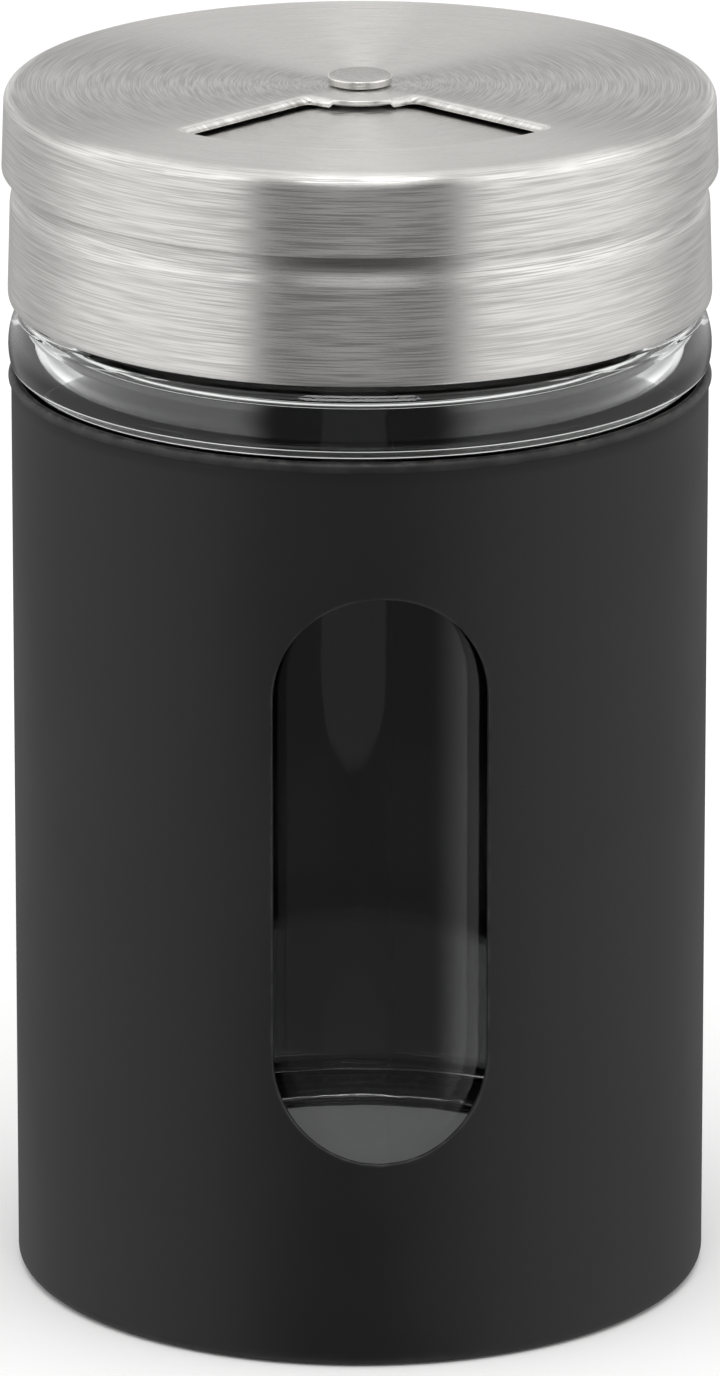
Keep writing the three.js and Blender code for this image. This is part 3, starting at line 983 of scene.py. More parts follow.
@dataclass
class SleeveShell:
    """The rolled steel sleeve: foot flange, wall with its window, rolled rim and lap seam."""

    wall: float = 0.5
    bead_radius: float = 0.5
    corner_radius: float = 1.2
    inner_corner: float = 0.7
    flange_inner: float = 26.0
    flange_thickness: float = 0.6
    edge_rounding: float = 0.12
    window: Slot = Slot(half_width=9.3, bottom=18.6, top=69.5)
    window_margin: float = 4.6
    window_half_cell: float = math.radians(24.0)
    columns: int = 300
    window_rows: int = 60
    seam_azimuth: float = math.radians(83.5)
    seam_width: float = 3.1
    seam_thickness: float = 0.4
    seam_ramp: float = 0.9

    def __post_init__(self) -> None:
        """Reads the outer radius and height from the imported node."""
        widest, _, self.height = reach("sleeve")
        self.radius = widest - self.bead_radius + self.wall / 2

    def profile(self) -> Array:
        """The closed section of the sleeve, from the flange's underside round to its top."""
        r, w, b, c = self.radius, self.wall, self.bead_radius, self.corner_radius
        bend = self.height - b - b * math.sin(math.radians(60))
        low, high = self.window.bottom - self.window_margin, self.window.top + self.window_margin
        inner, floor, e = r - w, self.flange_thickness, self.edge_rounding
        outer_wall = [
            flat((r, c), (r, low), 6), line((r, low), (r, high), self.window_rows),
            line((r, high), (r, bend), 6),
        ]
        inner_wall = [
            line((inner, bend), (inner, high), 6), line((inner, high), (inner, low), self.window_rows),
            flat((inner, low), (inner, floor + self.inner_corner), 6),
        ]
        return joined(
            arc((self.flange_inner + e, e), e, 180, 270, 4),
            flat((self.flange_inner + e, 0), (r - c, 0)),
            arc((r - c, c), c, -90, 0, 10),
            *outer_wall,
            arc((r - w / 2, self.height - b), b, -60, 240, 26),
            *inner_wall,
            arc((inner - self.inner_corner, floor + self.inner_corner), self.inner_corner, 0, -90, 6),
            flat((inner - self.inner_corner, floor), (self.flange_inner + e, floor)),
            arc((self.flange_inner + e, floor - e), e, 90, 180, 4),
        )

    def seam(self, profile: Array, azimuths: Array) -> Array:
        """How the lap of the rolled sheet stands in from the inner wall.

        Across the wall it climbs over a short ramp, stays level and drops at the sheet's
        cut edge. It runs over the whole inner wall.

        Args:
            profile: The section.
            azimuths: Angle of each column.

        Returns:
            A negative distance for each row and column.
        """
        inner = self.radius - self.wall
        across = (azimuths - self.seam_azimuth) * inner
        half = self.seam_width / 2
        lap = np.interp(across, [-half - 0.02, -half, half, half + self.seam_ramp], [0, 1, 1, 0])
        on_wall = np.abs(profile[:, 0] - inner) < 1e-6
        top = self.height - 2 * self.bead_radius
        level = np.interp(profile[:, 1], [1.4, 2.2, top - 0.8, top - 0.3], [0, 1, 1, 0])
        return -self.seam_thickness * (on_wall * level)[:, None] * lap[None, :]

    def build(self) -> bpy.types.Object:
        """Makes the sleeve: the turned section with the window let in."""
        edge = self.seam_azimuth - self.seam_width / 2 / (self.radius - self.wall)
        extra = edge + np.array([-0.0012, -0.0006, 0.0002])
        azimuths = np.sort(np.concatenate([even_turn(self.columns), extra]))
        profile = self.profile()
        across = between(azimuths, FRONT - self.window_half_cell, FRONT + self.window_half_cell)
        low, high = self.window.bottom - self.window_margin, self.window.top + self.window_margin
        up = np.linspace(low, high, self.window_rows + 1)
        work = Patchwork()
        work.add(
            turned(profile, azimuths, self.seam(profile, azimuths)), True, True,
            kept_quads(profile, azimuths, [(across, up)], axis=1),
        )
        cell = cell_sides(across, up)

        def on_wall(grow: float) -> Outline:
            """The window's outline as azimuth and height: the azimuth is asin(x / radius)."""
            return [
                np.stack([FRONT + np.arcsin(side[:, 0] / self.radius), side[:, 1]], 1)
                for side in self.window.sides(grow)
            ]

        base, outward = traced(on_wall, cell)
        rim = sheet_rim(self.wall, 0.1, len(base))
        rows, depth = opening_rows(cell, base, outward, rim, self.wall)
        out = self.radius - depth
        work.add(
            np.stack([out * np.cos(rows[..., 0]), out * np.sin(rows[..., 0]), rows[..., 1]], -1),
            wrap_columns=True,
        )
        return work.finish("sleeve_shell")

    def dress(self, piece: bpy.types.Object) -> None:
        """Powder coats the sleeve and hangs it on its body."""
        hang(piece, "sleeve", "sleeve", PowderCoat("black_powder_coat").material())


@dataclass
class GlassJar:
    """The pressed glass jar: footed base, wall, overhanging ring, neck with its thread."""

    radius: float = 29.1
    inner_radius: float = 26.7
    corner_radius: float = 2.5
    floor: float = 8.2
    floor_crown: float = 0.5
    floor_corner: float = 0.9
    punt_depth: float = 0.9
    ring_height: float = 84.0
    ring_bulge: float = 6.0
    ring_from: float = -12.0
    ring_to: float = 30.0
    inner_shoulder: float = 85.0
    neck_foot: float = 88.8
    neck_radius: float = 26.5
    mouth_radius: float = 24.0
    rim_rounding: float = 0.8
    thread_start: float = 93.0
    columns: int = 240
    thread: Thread = field(default_factory=Thread)

    def __post_init__(self) -> None:
        """Reads the ring's radius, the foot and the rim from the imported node."""
        self.ring_radius, self.foot, self.rim = reach("glass_jar")

    def outside(self) -> Array:
        """The outer section from the middle of the base to the rim."""
        r, c, foot, n = self.radius, self.corner_radius, self.foot, self.neck_radius
        ring, foot_of_neck = self.ring_radius, self.neck_foot
        top = self.rim - self.rim_rounding
        return joined(
            flowing([(0, foot + self.punt_depth), (7, foot + 0.88), (14, foot + 0.8), (20, foot + 0.66),
                     (22.2, foot + 0.5), (23.3, foot + 0.12), (24.2, foot)]),
            arc((r - c, foot + c), c, -90, 0, 10),
            flat((r, foot + c), (r, 80.9), 24),
            flowing([(r, 80.9), (r + 0.12, 81.6), (r + 0.5, 82.08), (ring - 0.45, 82.32), (ring - 0.2, 82.55)]),
            arc((ring - self.ring_bulge, self.ring_height), self.ring_bulge, self.ring_from, self.ring_to, 24),
            flowing([(ring - 0.9, 87.1), (ring - 1.2, 87.5), (28.7, 87.9), (27.8, 88.2), (27.1, 88.45),
                     (n + 0.12, foot_of_neck - 0.1), (n, foot_of_neck + 0.4)], 5),
            line((n, self.neck_foot + 0.4), (n, self.thread_start - 1.2), 5),
            line((n, self.thread_start - 1.2), (n, self.thread_start + 6.8), 60),
            line((n, self.thread_start + 6.8), (n, top), 3),
            arc((n - self.rim_rounding, top), self.rim_rounding, 0, 90, 6),
        )

    def inside(self) -> Array:
        """The inner section from the rim to the middle of the floor."""
        m, top, c = self.mouth_radius, self.rim - self.rim_rounding, self.floor_corner
        wall, fold = self.inner_radius, self.inner_shoulder
        return joined(
            arc((m + self.rim_rounding, top), self.rim_rounding, 90, 180, 6),
            flat((m, top), (m, 89.2), 8),
            flowing([(m, 89.2), (m + 0.03, 88.5), (m + 0.35, 87.7), (wall - 1.9, fold + 1.85),
                     (wall - 0.5, fold + 0.42), (wall - 0.12, fold + 0.08), (wall, fold - 0.3)], 8),
            flat((wall, fold - 0.3), (wall, self.floor + c), 24),
            arc((self.inner_radius - c, self.floor + c), c, 0, -90, 10),
            flowing([(self.inner_radius - c, self.floor), (18, self.floor + 0.12),
                     (9, self.floor + 0.4), (0, self.floor + self.floor_crown)]),
        )

    def build(self) -> bpy.types.Object:
        """Makes the jar: both sections turned as one skin, with the thread on the neck."""
        outside = self.outside()
        profile = joined(outside, self.inside())
        profile[[0, -1], 0] = 0.0
        azimuths = even_turn(self.columns)
        swell = self.thread.swelling(profile[:, 1], azimuths, self.thread_start)
        on_neck = (np.abs(profile[:, 0] - self.neck_radius) < 1e-6)[:, None]
        work = Patchwork()
        work.add(turned(profile, azimuths, swell * on_neck), wrap_columns=True)
        return work.finish("spice_jar")

    def dress(self, piece: bpy.types.Object) -> None:
        """Gives the jar its glass and hangs it on its body."""
        hang(piece, "glass_jar", "jar", PressedGlass("pressed_clear_glass").material())


@dataclass(frozen=True)
class HoleSector:
    """Rows of round holes over one sector of the cap's plate."""

    azimuth: float
    radius: float
    rows: tuple[tuple[float, int, float, float], ...]


@dataclass
class ScrewCap:
    """The drawn steel cap with its hole sectors."""

    sheet: float = 0.45
    upper_radius: float = 30.0
    corner_radius: float = 0.8
    step_top: float = 98.4
    step_bottom: float = 96.5
    skirt_top_radius: float = 30.36
    hem_rounding: float = 0.2
    pivot_hole: float = 1.9
    sector: float = math.radians(66.0)
    sector_columns: int = 60
    gap_columns: int = 95
    row_step: float = 0.75
    holes_from: float = 8.5
    holes_to: float = 22.0
    rounding: float = 0.05
    pour: Fan = Fan(inner=9.5, outer=20.5, half_angle=math.radians(34.0), azimuth=BACK, fillet=0.9)
    pour_cell: tuple[int, int] = (14, 81)
    fine: HoleSector = HoleSector(
        0.0, 0.85, ((10.0, 3, 8.5, 11.5), (13.0, 4, 11.5, 14.5), (16.0, 5, 14.5, 17.5), (19.0, 6, 17.5, 20.5))
    )
    coarse: HoleSector = HoleSector(
        math.pi, 1.4, ((10.4, 2, 8.5, 12.25), (14.6, 3, 12.25, 16.75), (18.7, 4, 16.75, 20.5))
    )

    def __post_init__(self) -> None:
        """Reads the skirt's radius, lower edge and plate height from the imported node."""
        self.skirt_radius, self.bottom, self.top = reach("cap_shell")

    def azimuths(self) -> Array:
        """Columns that are narrower over the two hole sectors, so that each cell ends on one."""
        half, gap = self.sector / 2, math.pi - self.sector
        parts = [
            np.linspace(-half, half, self.sector_columns, endpoint=False),
            np.linspace(half, half + gap, self.gap_columns, endpoint=False),
        ]
        return np.concatenate([parts[0], parts[1], parts[0] + math.pi, parts[1] + math.pi])

    def profile(self) -> Array:
        """The closed section: plate, corner, upper wall, step, skirt and hem, and back inside."""
        t, c, up, s = self.sheet, self.corner_radius, self.upper_radius, self.skirt_radius
        corner = (up - c, self.top - c)
        count = round((self.holes_to - self.holes_from) / self.row_step)
        plate = [
            flat((self.pivot_hole, 0.0), (self.holes_from, 0.0), 4),
            line((self.holes_from, 0.0), (self.holes_to, 0.0), count),
            flat((self.holes_to, 0.0), (up - c, 0.0), 5),
        ]
        over = [part + [0.0, self.top] for part in plate]
        under = [part[::-1] + [0.0, self.top - t] for part in plate[::-1]]
        h = self.hem_rounding
        rise = self.skirt_top_radius - up
        step = [(up, self.step_top + 0.1), (up + 0.02 * rise, self.step_top - 0.15),
                (up + 0.2 * rise, self.step_top - 0.5), (up + 0.55 * rise, self.step_top - 0.95),
                (up + 0.87 * rise, self.step_top - 1.4), (self.skirt_top_radius, self.step_bottom),
                (self.skirt_top_radius, self.step_bottom - 0.3)]
        skirt_low = (s, self.bottom + 0.9)
        inner = s - t
        return joined(
            *over,
            arc(corner, c, 90, 0, 8),
            flat((up, self.top - c), (up, self.step_top + 0.1), 4),
            flowing(step, 5),
            flat((self.skirt_top_radius, self.step_bottom - 0.3), skirt_low, 8),
            flowing([skirt_low, (s - 0.01, self.bottom + h + 0.2), (s - 0.09, self.bottom + 0.08),
                     (s - 0.24, self.bottom), (inner, self.bottom + 0.1), (inner - 0.03, self.bottom + 0.5),
                     (inner, self.bottom + 0.9)], 4),
            flat((inner, self.bottom + 0.9), (self.skirt_top_radius - t, self.step_bottom), 6),
            flowing([(self.skirt_top_radius - t, self.step_bottom), (up - t + 0.16, self.step_top - 1.2),
                     (up - t, self.step_top - 0.3)], 5),
            flat((up - t, self.step_top - 0.3), (up - t, self.top - c), 4),
            arc(corner, c - t, 0, 90, 6),
            *under,
        )

    def holes(self, azimuths: Array) -> list[tuple[Array, Array, Callable[[float], Outline]]]:
        """Every hole of the plate with the cell of the grid that it lies in.

        Args:
            azimuths: The columns of the cap's grid.

        Returns:
            The cell's azimuths, its radii, and the outline, for each hole.
        """
        found = []
        for sector, start in ((self.fine, 0), (self.coarse, self.sector_columns + self.gap_columns)):
            for distance, count, low, high in sector.rows:
                width = self.sector_columns // count
                up = np.linspace(low, high, round((high - low) / self.row_step) + 1)
                for k in range(count):
                    first = start + k * width
                    across = azimuths[first : first + width + 1]
                    angle = sector.azimuth + self.sector * ((k + 0.5) / count - 0.5)
                    found.append((across, up, RoundHole(distance, angle, sector.radius).sides))
        first, last = (self.sector_columns + k for k in self.pour_cell)
        count = round((self.holes_to - self.holes_from) / self.row_step)
        up = np.linspace(self.holes_from, self.holes_to, count + 1)
        found.append((azimuths[first : last + 1], up, self.pour.sides))
        return found

    def build_shell(self) -> bpy.types.Object:
        """Makes the cap: the turned section with a patch for each hole of the plate."""
        azimuths, profile = self.azimuths(), self.profile()
        holes = self.holes(azimuths)
        work = Patchwork()
        keep = kept_quads(profile, azimuths, [(across, up) for across, up, _ in holes], axis=0)
        work.add(turned(profile, azimuths), True, True, keep)
        for across, up, outline in holes:
            cell = [polar_to_flat(side) for side in cell_sides(across, up)]
            base, outward = traced(outline, cell)
            rim = sheet_rim(self.sheet, self.rounding, len(base))
            rows, depth = opening_rows(cell, base, outward, rim, self.sheet)
            work.add(np.concatenate([rows, self.top - depth[..., None]], -1), wrap_columns=True)
        return work.finish("screw_cap")

    def dress_shell(self, piece: bpy.types.Object, steel: bpy.types.Material) -> None:
        """Gives the cap its brushed steel and hangs it on its body."""
        hang(piece, "cap_shell", "cap", steel)


@dataclass
class CapFittings:
    """The hidden pieces of the cap: threaded insert, seal ring, rivet and its two washers."""

    insert_root: float = 28.1
    insert_flange: float = 1.1
    insert_flange_inner: float = 25.0
    insert_thread_start: float = 90.9
    insert_columns: int = 240
    rivet_shank: float = 1.55
    rivet_head: float = 0.68
    rivet_tail: float = 2.7
    rivet_tail_thickness: float = 0.6
    small_columns: int = 96

    @staticmethod
    def _ring(name: str, profile: Array, columns: int, swell: Optional[Array] = None) -> bpy.types.Object:
        """A closed section turned into a ring."""
        work = Patchwork()
        work.add(turned(profile, even_turn(columns), swell), True, True)
        return work.finish(name)

    @staticmethod
    def _washer_section(inner: float, outer: float, low: float, high: float, rounding: float) -> Array:
        """The closed section of a flat ring with four rounded corners."""
        e = rounding
        return joined(
            arc((inner + e, low + e), e, 180, 270, 4),
            flat((inner + e, low), (outer - e, low), 4, e),
            arc((outer - e, low + e), e, -90, 0, 4),
            arc((outer - e, high - e), e, 0, 90, 4),
            flat((outer - e, high), (inner + e, high), 4, e),
            arc((inner + e, high - e), e, 90, 180, 4),
        )

    def build_insert(self) -> bpy.types.Object:
        """Makes the threaded insert: a ring whose thread swells inwards from its bore."""
        radius, low, high = reach("thread_insert")
        root, flange_low, inner = self.insert_root, high - self.insert_flange, self.insert_flange_inner
        bore = line((root, flange_low - 0.4), (root, low + 0.5), 84)
        profile = joined(
            arc((radius - 0.25, low + 0.25), 0.25, -90, 0, 4),
            flat((radius, low + 0.25), (radius, high - 0.5), 10),
            arc((radius - 0.5, high - 0.5), 0.5, 0, 90, 5),
            flat((radius - 0.5, high), (inner + 0.2, high), 4),
            arc((inner + 0.2, high - 0.2), 0.2, 90, 180, 4),
            arc((inner + 0.2, flange_low + 0.2), 0.2, 180, 270, 4),
            flat((inner + 0.2, flange_low), (root - 0.4, flange_low), 3),
            arc((root - 0.4, flange_low - 0.4), 0.4, 90, 0, 4),
            bore,
            flowing([(root, low + 0.5), (root + 0.12, low + 0.15), (root + 0.45, low)], 4),
        )
        azimuths = even_turn(self.insert_columns)
        ridge = Thread().swelling(profile[:, 1], azimuths, self.insert_thread_start)
        on_bore = (np.abs(profile[:, 0] - root) < 1e-6)[:, None]
        return self._ring("threaded_insert", profile, self.insert_columns, -ridge * on_bore)

    def build_seal(self) -> bpy.types.Object:
        """Makes the seal: a flat ring with two shallow ribs on each face.

        The ribs lift or lower a face by 0.06 mm times the square of a sine over its width.
        """
        radius, low, high = reach("seal_ring")
        inner, e, rib = 24.3, 0.3, 0.06
        across = np.linspace(inner + e, radius - e, 41)
        wave = rib * np.sin((across - inner - e) / (radius - inner - 2 * e) * TURN) ** 2
        profile = joined(
            arc((inner + e, low + rib + e), e, 180, 270, 5),
            np.stack([across, low + rib - wave], 1),
            arc((radius - e, low + rib + e), e, -90, 0, 5),
            arc((radius - e, high - rib - e), e, 0, 90, 5),
            np.stack([across, high - rib + wave], 1)[::-1],
            arc((inner + e, high - rib - e), e, 90, 180, 5),
        )
        return self._ring("rim_seal", profile, self.insert_columns)

    def build_rivet(self) -> bpy.types.Object:
        """Makes the rivet: turned head with a faint dish, shank and upset tail."""
        head, low, high = reach("pivot_rivet")
        shank, tail, head_low = self.rivet_shank, self.rivet_tail, high - self.rivet_head
        tail_top = low + self.rivet_tail_thickness
        profile = joined(
            flowing([(0, low + 0.1), (1.3, low + 0.05), (1.75, low), (tail - 0.4, low),
                     (tail - 0.06, low + 0.2), (tail, low + 0.35), (tail - 0.1, tail_top - 0.04),
                     (tail - 0.2, tail_top)], 5),
            flat((tail - 0.2, tail_top), (shank + 0.1, tail_top), 2, 0.05),
            arc((shank + 0.1, tail_top + 0.1), 0.1, 270, 180, 4),
            flat((shank, tail_top + 0.1), (shank, head_low - 0.1), 4, 0.05),
            arc((shank + 0.1, head_low - 0.1), 0.1, 180, 90, 4),
            flat((shank + 0.1, head_low), (head - 0.1, head_low), 3, 0.05),
            arc((head - 0.1, head_low + 0.1), 0.1, -90, 0, 5),
            flat((head, head_low + 0.1), (head, high - 0.13), 2, 0.05),
            arc((head - 0.13, high - 0.13), 0.13, 0, 90, 6),
            flowing([(head - 0.13, high), (head - 0.4, high - 0.012), (1.5, high - 0.04), (0, high - 0.05)], 5),
        )
        profile[[0, -1], 0] = 0.0
        work = Patchwork()
        work.add(turned(profile, even_turn(self.small_columns)), wrap_columns=True)
        return work.finish("dial_rivet")

    def build_washer(self, name: str, node: str, inner: float) -> bpy.types.Object:
        """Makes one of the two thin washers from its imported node's box."""
        outer, low, high = reach(node)
        section = self._washer_section(inner, outer, low, high, 0.05)
        return self._ring(name, section, self.small_columns)

    def build_and_dress(self) -> None:
        """Makes all five pieces, gives them their finishes and hangs them on their bodies."""
        plastic = MouldedPlastic("white_insert_plastic", (0.8, 0.79, 0.76)).material()
        soft = MouldedPlastic("clear_seal_plastic", (0.7, 0.71, 0.69), 0.38, 0.3, 0.35).material()
        turned_steel = BrushedSteel(
            "turned_rivet_steel", colour=(0.58, 0.565, 0.545), roughness=0.3, spread=0.45,
            # The last value sets the edge mask for rubbed wear and the painted edge highlight.
            lines=9000.0, line_length=1.2, line_depth=0.004, edge_wear_and_highlight=0.8,
        ).material()
        plain_steel = BrushedSteel(
            "plain_washer_steel", colour=(0.5, 0.5, 0.49), roughness=0.36, spread=0.3, line_depth=0.002,
        ).material()
        hang(self.build_insert(), "thread_insert", "cap", plastic)
        hang(self.build_seal(), "seal_ring", "seal", soft)
        hang(self.build_rivet(), "pivot_rivet", "cap", turned_steel)
        hang(self.build_washer("glide_disc", "glide_washer", 1.9), "glide_washer", "cap", plain_steel)
        hang(self.build_washer("backing_disc", "backing_washer", 1.9), "backing_washer", "cap", plain_steel)


@dataclass
class DialCover:
    """The drawn steel dial: disc, short skirt and the fan opening with its turned-down lips."""

    sheet: float = 0.4
    upper_inset: float = 0.2
    corner_radius: float = 1.3
    edge_rounding: float = 0.13
    pivot_hole: float = 1.9
    lip_depth: float = 0.75
    lip_bend: float = 0.55
    lip_edge: float = 0.07
    notch_half: float = 2.6
    notch_ramp: float = 0.3
    fan: Fan = Fan(
        inner=5.95, outer=21.7, half_angle=math.radians(44.9), azimuth=FRONT - math.radians(2.0),
        fillet=1.1, apex=0.62
    )
    cell_inner: float = 4.8
    cell_outer: float = 23.8
    cell_half_angle: float = math.radians(66.0)
    cell_rows: int = 36
    columns: int = 240

    def __post_init__(self) -> None:
        """Reads the skirt's radius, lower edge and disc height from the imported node."""
        self.lower_radius, self.bottom, self.top = reach("dial_cover")
        self.upper_radius = self.lower_radius - self.upper_inset

    def profile(self) -> Array:
        """The closed section: disc, corner, skirt, its lower edge, and back inside."""
        t, c, e = self.sheet, self.corner_radius, self.edge_rounding
        corner = (self.upper_radius - c, self.top - c)
        disc = [
            flat((self.pivot_hole, 0.0), (self.cell_inner, 0.0), 3),
            line((self.cell_inner, 0.0), (self.cell_outer, 0.0), self.cell_rows),
            flat((self.cell_outer, 0.0), (self.upper_radius - c, 0.0), 6),
        ]
        over = [part + [0.0, self.top] for part in disc]
        under = [part[::-1] + [0.0, self.top - t] for part in disc[::-1]]
        low = self.lower_radius
        return joined(
            *over,
            arc(corner, c, 90, 0, 14),
            flat((self.upper_radius, self.top - c), (low, self.bottom + e + 0.25), 8),
            line((low, self.bottom + e + 0.25), (low, self.bottom + e)),
            arc((low - e, self.bottom + e), e, 0, -90, 5),
            arc((low - t + e, self.bottom + e), e, -90, -180, 5),
            flat((low - t, self.bottom + e), (self.upper_radius - t, self.top - c), 6),
            arc(corner, c - t, 0, 90, 10),
            *under,
        )

    def lips(self, base: Array, outward: Array) -> Array:
        """Growth and depth of the fan's rim at each point of its outline.

        Most of the outline is bent down in a quarter round, ends in a rounded edge and comes
        back up on the far side of the sheet. In the notch in the middle of the inner end the
        sheet is only cut. The two tables are mixed over a short ramp at the notch's ends.

        Args:
            base: The outline's points in x and y.
            outward: How each of them moves for a growth of one; not used.

        Returns:
            Rows, points, growth and depth.
        """
        t, b, d, e = self.sheet, self.lip_bend, self.lip_depth, self.lip_edge
        bend = np.radians(np.linspace(0, 90, 8))
        back = np.radians(np.linspace(90, 0, 5))
        lip = np.vstack([
            [[b + 0.3, 0.0]],
            np.stack([b - b * np.sin(bend), b - b * np.cos(bend)], 1),
            [[0.0, d - e], [0.3 * e, d - 0.3 * e], [e, d]],
            [[t - e, d], [t - 0.3 * e, d - 0.3 * e], [t, d - e]],
            np.stack([b - (b - t) * np.sin(back), b - (b - t) * np.cos(back)], 1),
            [[b + 0.3, t]],
        ])
        count = len(lip)
        cut_grow = np.concatenate([
            np.linspace(b + 0.3, 0.2, 5), [0.13, 0.06, 0.02, 0.0, 0.0, 0.02, 0.06],
            np.linspace(0.13, b + 0.3, count - 12),
        ])
        cut_depth = np.concatenate([
            np.zeros(6), [0.005, 0.03, 0.08, t - 0.08, t - 0.03, t - 0.005], np.full(count - 12, t),
        ])
        cut = np.stack([cut_grow, cut_depth], 1)
        on_inner = np.hypot(base[:, 0], base[:, 1]) < self.fan.inner + 0.05
        across = base @ np.array([-math.sin(self.fan.azimuth), math.cos(self.fan.azimuth)])
        off = np.abs(across) - self.notch_half
        share = np.clip(0.5 - off / self.notch_ramp, 0, 1) * on_inner
        return lip[:, None] * (1 - share)[None, :, None] + cut[:, None] * share[None, :, None]

    def build(self) -> bpy.types.Object:
        """Makes the dial: the turned section with the lipped fan let in."""
        azimuths, profile = even_turn(self.columns), self.profile()
        across = between(azimuths, FRONT - self.cell_half_angle, FRONT + self.cell_half_angle)
        up = np.linspace(self.cell_inner, self.cell_outer, self.cell_rows + 1)
        work = Patchwork()
        keep = kept_quads(profile, azimuths, [(across, up)], axis=0)
        work.add(turned(profile, azimuths), True, True, keep)
        cell = [polar_to_flat(side) for side in cell_sides(across, up)]
        base, outward = traced(self.fan.sides, cell)
        rows, depth = opening_rows(cell, base, outward, self.lips(base, outward), self.sheet)
        work.add(np.concatenate([rows, self.top - depth[..., None]], -1), wrap_columns=True)
        return work.finish("dial_disc")

    def dress(self, piece: bpy.types.Object, steel: bpy.types.Material) -> None:
        """Gives the dial its brushed steel and hangs it on its body."""
        hang(piece, "dial_cover", "dial", steel)


# ------------------------------------------------------------------ studio


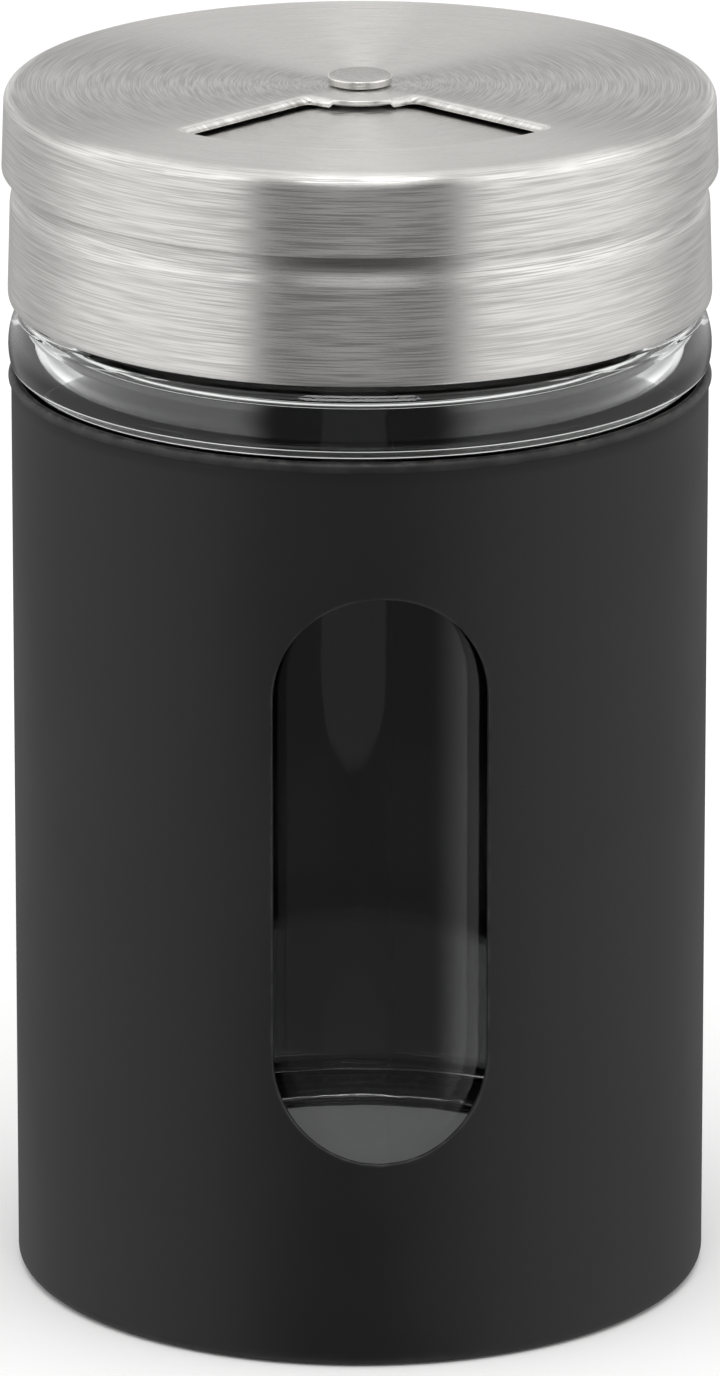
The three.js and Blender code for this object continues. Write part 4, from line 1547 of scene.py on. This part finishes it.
@dataclass
class Studio:
    """Pale floor, a light tent with a dark slot towards the camera, and the camera."""

    floor_half: float = 6.0
    floor_drop: float = 0.00004
    camera_distance: float = 1.0165
    camera_height: float = 0.368
    camera_azimuth: float = math.radians(3.47)
    camera_pitch: float = math.radians(17.255)
    lens: float = 317.46
    tent_left: float = 1.62
    tent_right: float = 1.68
    tent_back: float = 0.6
    tent_slot: float = 0.12
    tent_top: float = 1.15
    tent_seen: float = 1.0
    tent_horizon: float = 1.0
    below_sides: float = 0.45
    below_back: float = 0.15
    slot_left: float = 40.0
    slot_right: float = 35.0
    softbox_elevation: float = math.radians(55.0)
    softbox_distance: float = 1.4
    softbox_size: tuple[float, float] = (0.75, 0.5)
    softbox_power: float = 6.0

    def _heading(self, offset: float) -> Vector:
        """Level direction at an angle in degrees from the camera, positive to its right."""
        azimuth = FRONT - self.camera_azimuth + math.radians(offset)
        return Vector((math.cos(azimuth), math.sin(azimuth), 0.0))

    def build_floor(self) -> None:
        """Lays the floor just under the object's lowest point."""
        half, level = self.floor_half, cad_low.z - self.floor_drop
        mesh = bpy.data.meshes.new("floor")
        steps = np.linspace(-half, half, 13)
        x, y = np.meshgrid(steps, steps)
        points = np.stack([x.ravel(), y.ravel(), np.full(x.size, level)], 1)
        index = np.arange(x.size).reshape(x.shape)
        quads = np.stack([index[:-1, :-1], index[:-1, 1:], index[1:, 1:], index[1:, :-1]], -1)
        mesh.from_pydata(points.tolist(), [], quads.reshape(-1, 4).tolist())
        floor = bpy.data.objects.new("floor", mesh)
        bpy.context.scene.collection.objects.link(floor)
        mesh.materials.append(Backdrop().material())
        floor.visible_glossy = False
        floor.visible_transmission = False

    def build_tent(self) -> None:
        """Makes the world: bright to the left, right and above, duller behind, dark in the slot.

        The slot is where the direction lies inside both of its edges, each a smooth step of
        the direction's product with the edge's normal, and below the tent's roof. A band
        at the horizon is brighter than the rest of the back, and all that lies under the
        horizon is dimmed.
        """
        world = bpy.data.worlds.new("light_tent")
        bpy.context.scene.world = world
        world.use_nodes = True
        sheet = Sheet(world.node_tree)
        background = next(n for n in world.node_tree.nodes if n.type == "BACKGROUND")
        ray = sheet.node("ShaderNodeTexCoord").outputs["Generated"]
        split = sheet.node("ShaderNodeSeparateXYZ")
        sheet.feed(split.inputs[0], ray)
        level = sheet.vector("NORMALIZE", sheet.vector("MULTIPLY", ray, (1.0, 1.0, 0.0)))

        def beyond(heading: Vector, low: float, high: float) -> bpy.types.NodeSocket:
            """A smooth step of the level direction along a heading."""
            return sheet.ranged(sheet.vector("DOT_PRODUCT", level, tuple(heading)), low, high, 0.0, 1.0)

        inside_left = beyond(self._heading(90 - self.slot_left), -0.06, 0.2)
        inside_right = beyond(self._heading(self.slot_right - 90), -0.18, 0.18)
        under_roof = sheet.ranged(split.outputs["Z"], 0.64, 0.8, 1.0, 0.0)
        slot = sheet.maths("MULTIPLY", sheet.maths("MULTIPLY", inside_left, inside_right), under_roof)
        right = beyond(self._heading(90), -0.4, 0.4)
        behind = beyond(self._heading(180), 0.05, 0.7)
        back = sheet.maths("MULTIPLY", behind, under_roof)
        sides = sheet.ranged(right, 0.0, 1.0, self.tent_left, self.tent_right, smooth=False)

        def blend(share: object, first: object, second: object) -> bpy.types.NodeSocket:
            """first * (1 - share) + second * share."""
            gap = sheet.maths("SUBTRACT", second, first)
            return sheet.maths("ADD", first, sheet.maths("MULTIPLY", share, gap))

        backdrop = sheet.ranged(split.outputs["Z"], 0.08, 0.25, self.tent_horizon, self.tent_back)
        walls = blend(back, sides, backdrop)
        lowest = blend(beyond(self._heading(180), 0.9, 0.98), self.below_sides, self.below_back)
        above = sheet.ranged(split.outputs["Z"], -0.3, -0.05, 0.0, 1.0)
        walls = sheet.maths("MULTIPLY", walls, blend(above, lowest, 1.0))
        lit = blend(sheet.maths("SUBTRACT", 1.0, under_roof), walls, self.tent_top)
        lit = blend(slot, lit, self.tent_slot)
        seen = sheet.node("ShaderNodeLightPath").outputs["Is Camera Ray"]
        sheet.feed(background.inputs["Strength"], blend(seen, lit, self.tent_seen))
        background.inputs["Color"].default_value = (1.0, 1.0, 1.0, 1.0)

    def build_lights(self) -> None:
        """Hangs one softbox high over the object, a little in front of it."""
        data = bpy.data.lights.new("softbox", "AREA")
        data.shape = "RECTANGLE"
        data.size, data.size_y = self.softbox_size
        data.energy = self.softbox_power
        light = bpy.data.objects.new("softbox", data)
        level, lift = math.cos(self.softbox_elevation), math.sin(self.softbox_elevation)
        aim = self._heading(0) * level + Vector((0.0, 0.0, lift))
        middle = Vector((0.0, 0.0, cad_high.z * 0.8))
        light.location = middle + aim * self.softbox_distance
        light.rotation_euler = (-aim).to_track_quat("-Z", "Y").to_euler()
        light.visible_camera = False
        bpy.context.scene.collection.objects.link(light)

    def build_camera(self) -> None:
        """Sets the camera: level distance, height and azimuth from the axis, tilted down."""
        data = bpy.data.cameras.new("camera")
        data.lens = self.lens
        data.sensor_width = 36.0
        data.clip_start, data.clip_end = 0.05, 50.0
        camera = bpy.data.objects.new("camera", data)
        back = self._heading(0.0) * self.camera_distance
        camera.location = (back.x, back.y, cad_low.z + self.camera_height)
        camera.rotation_euler = Euler((math.pi / 2 - self.camera_pitch, 0.0, -self.camera_azimuth))
        bpy.context.scene.collection.objects.link(camera)
        bpy.context.scene.camera = camera

    def build(self) -> None:
        """Sets up the whole studio."""
        self.build_camera()
        self.build_floor()
        self.build_tent()
        self.build_lights()
        bpy.context.scene.view_settings.view_transform = "Standard"
        log.info("studio ready")


# ------------------------------------------------------------------ assembly


def main() -> None:
    """Builds the studio and every sub-assembly in order."""
    logging.basicConfig(level=logging.INFO, format="%(name)s: %(message)s")
    Studio().build()
    sleeve = SleeveShell()
    sleeve.dress(sleeve.build())
    jar = GlassJar()
    jar.dress(jar.build())
    cap = ScrewCap()
    cap.dress_shell(cap.build_shell(), BrushedSteel("brushed_cap_steel", lines=8500.0).material())
    CapFittings().build_and_dress()
    dial = DialCover()
    dial.dress(dial.build(), BrushedSteel("brushed_dial_steel").material())


if __name__ == "__main__":
    main()
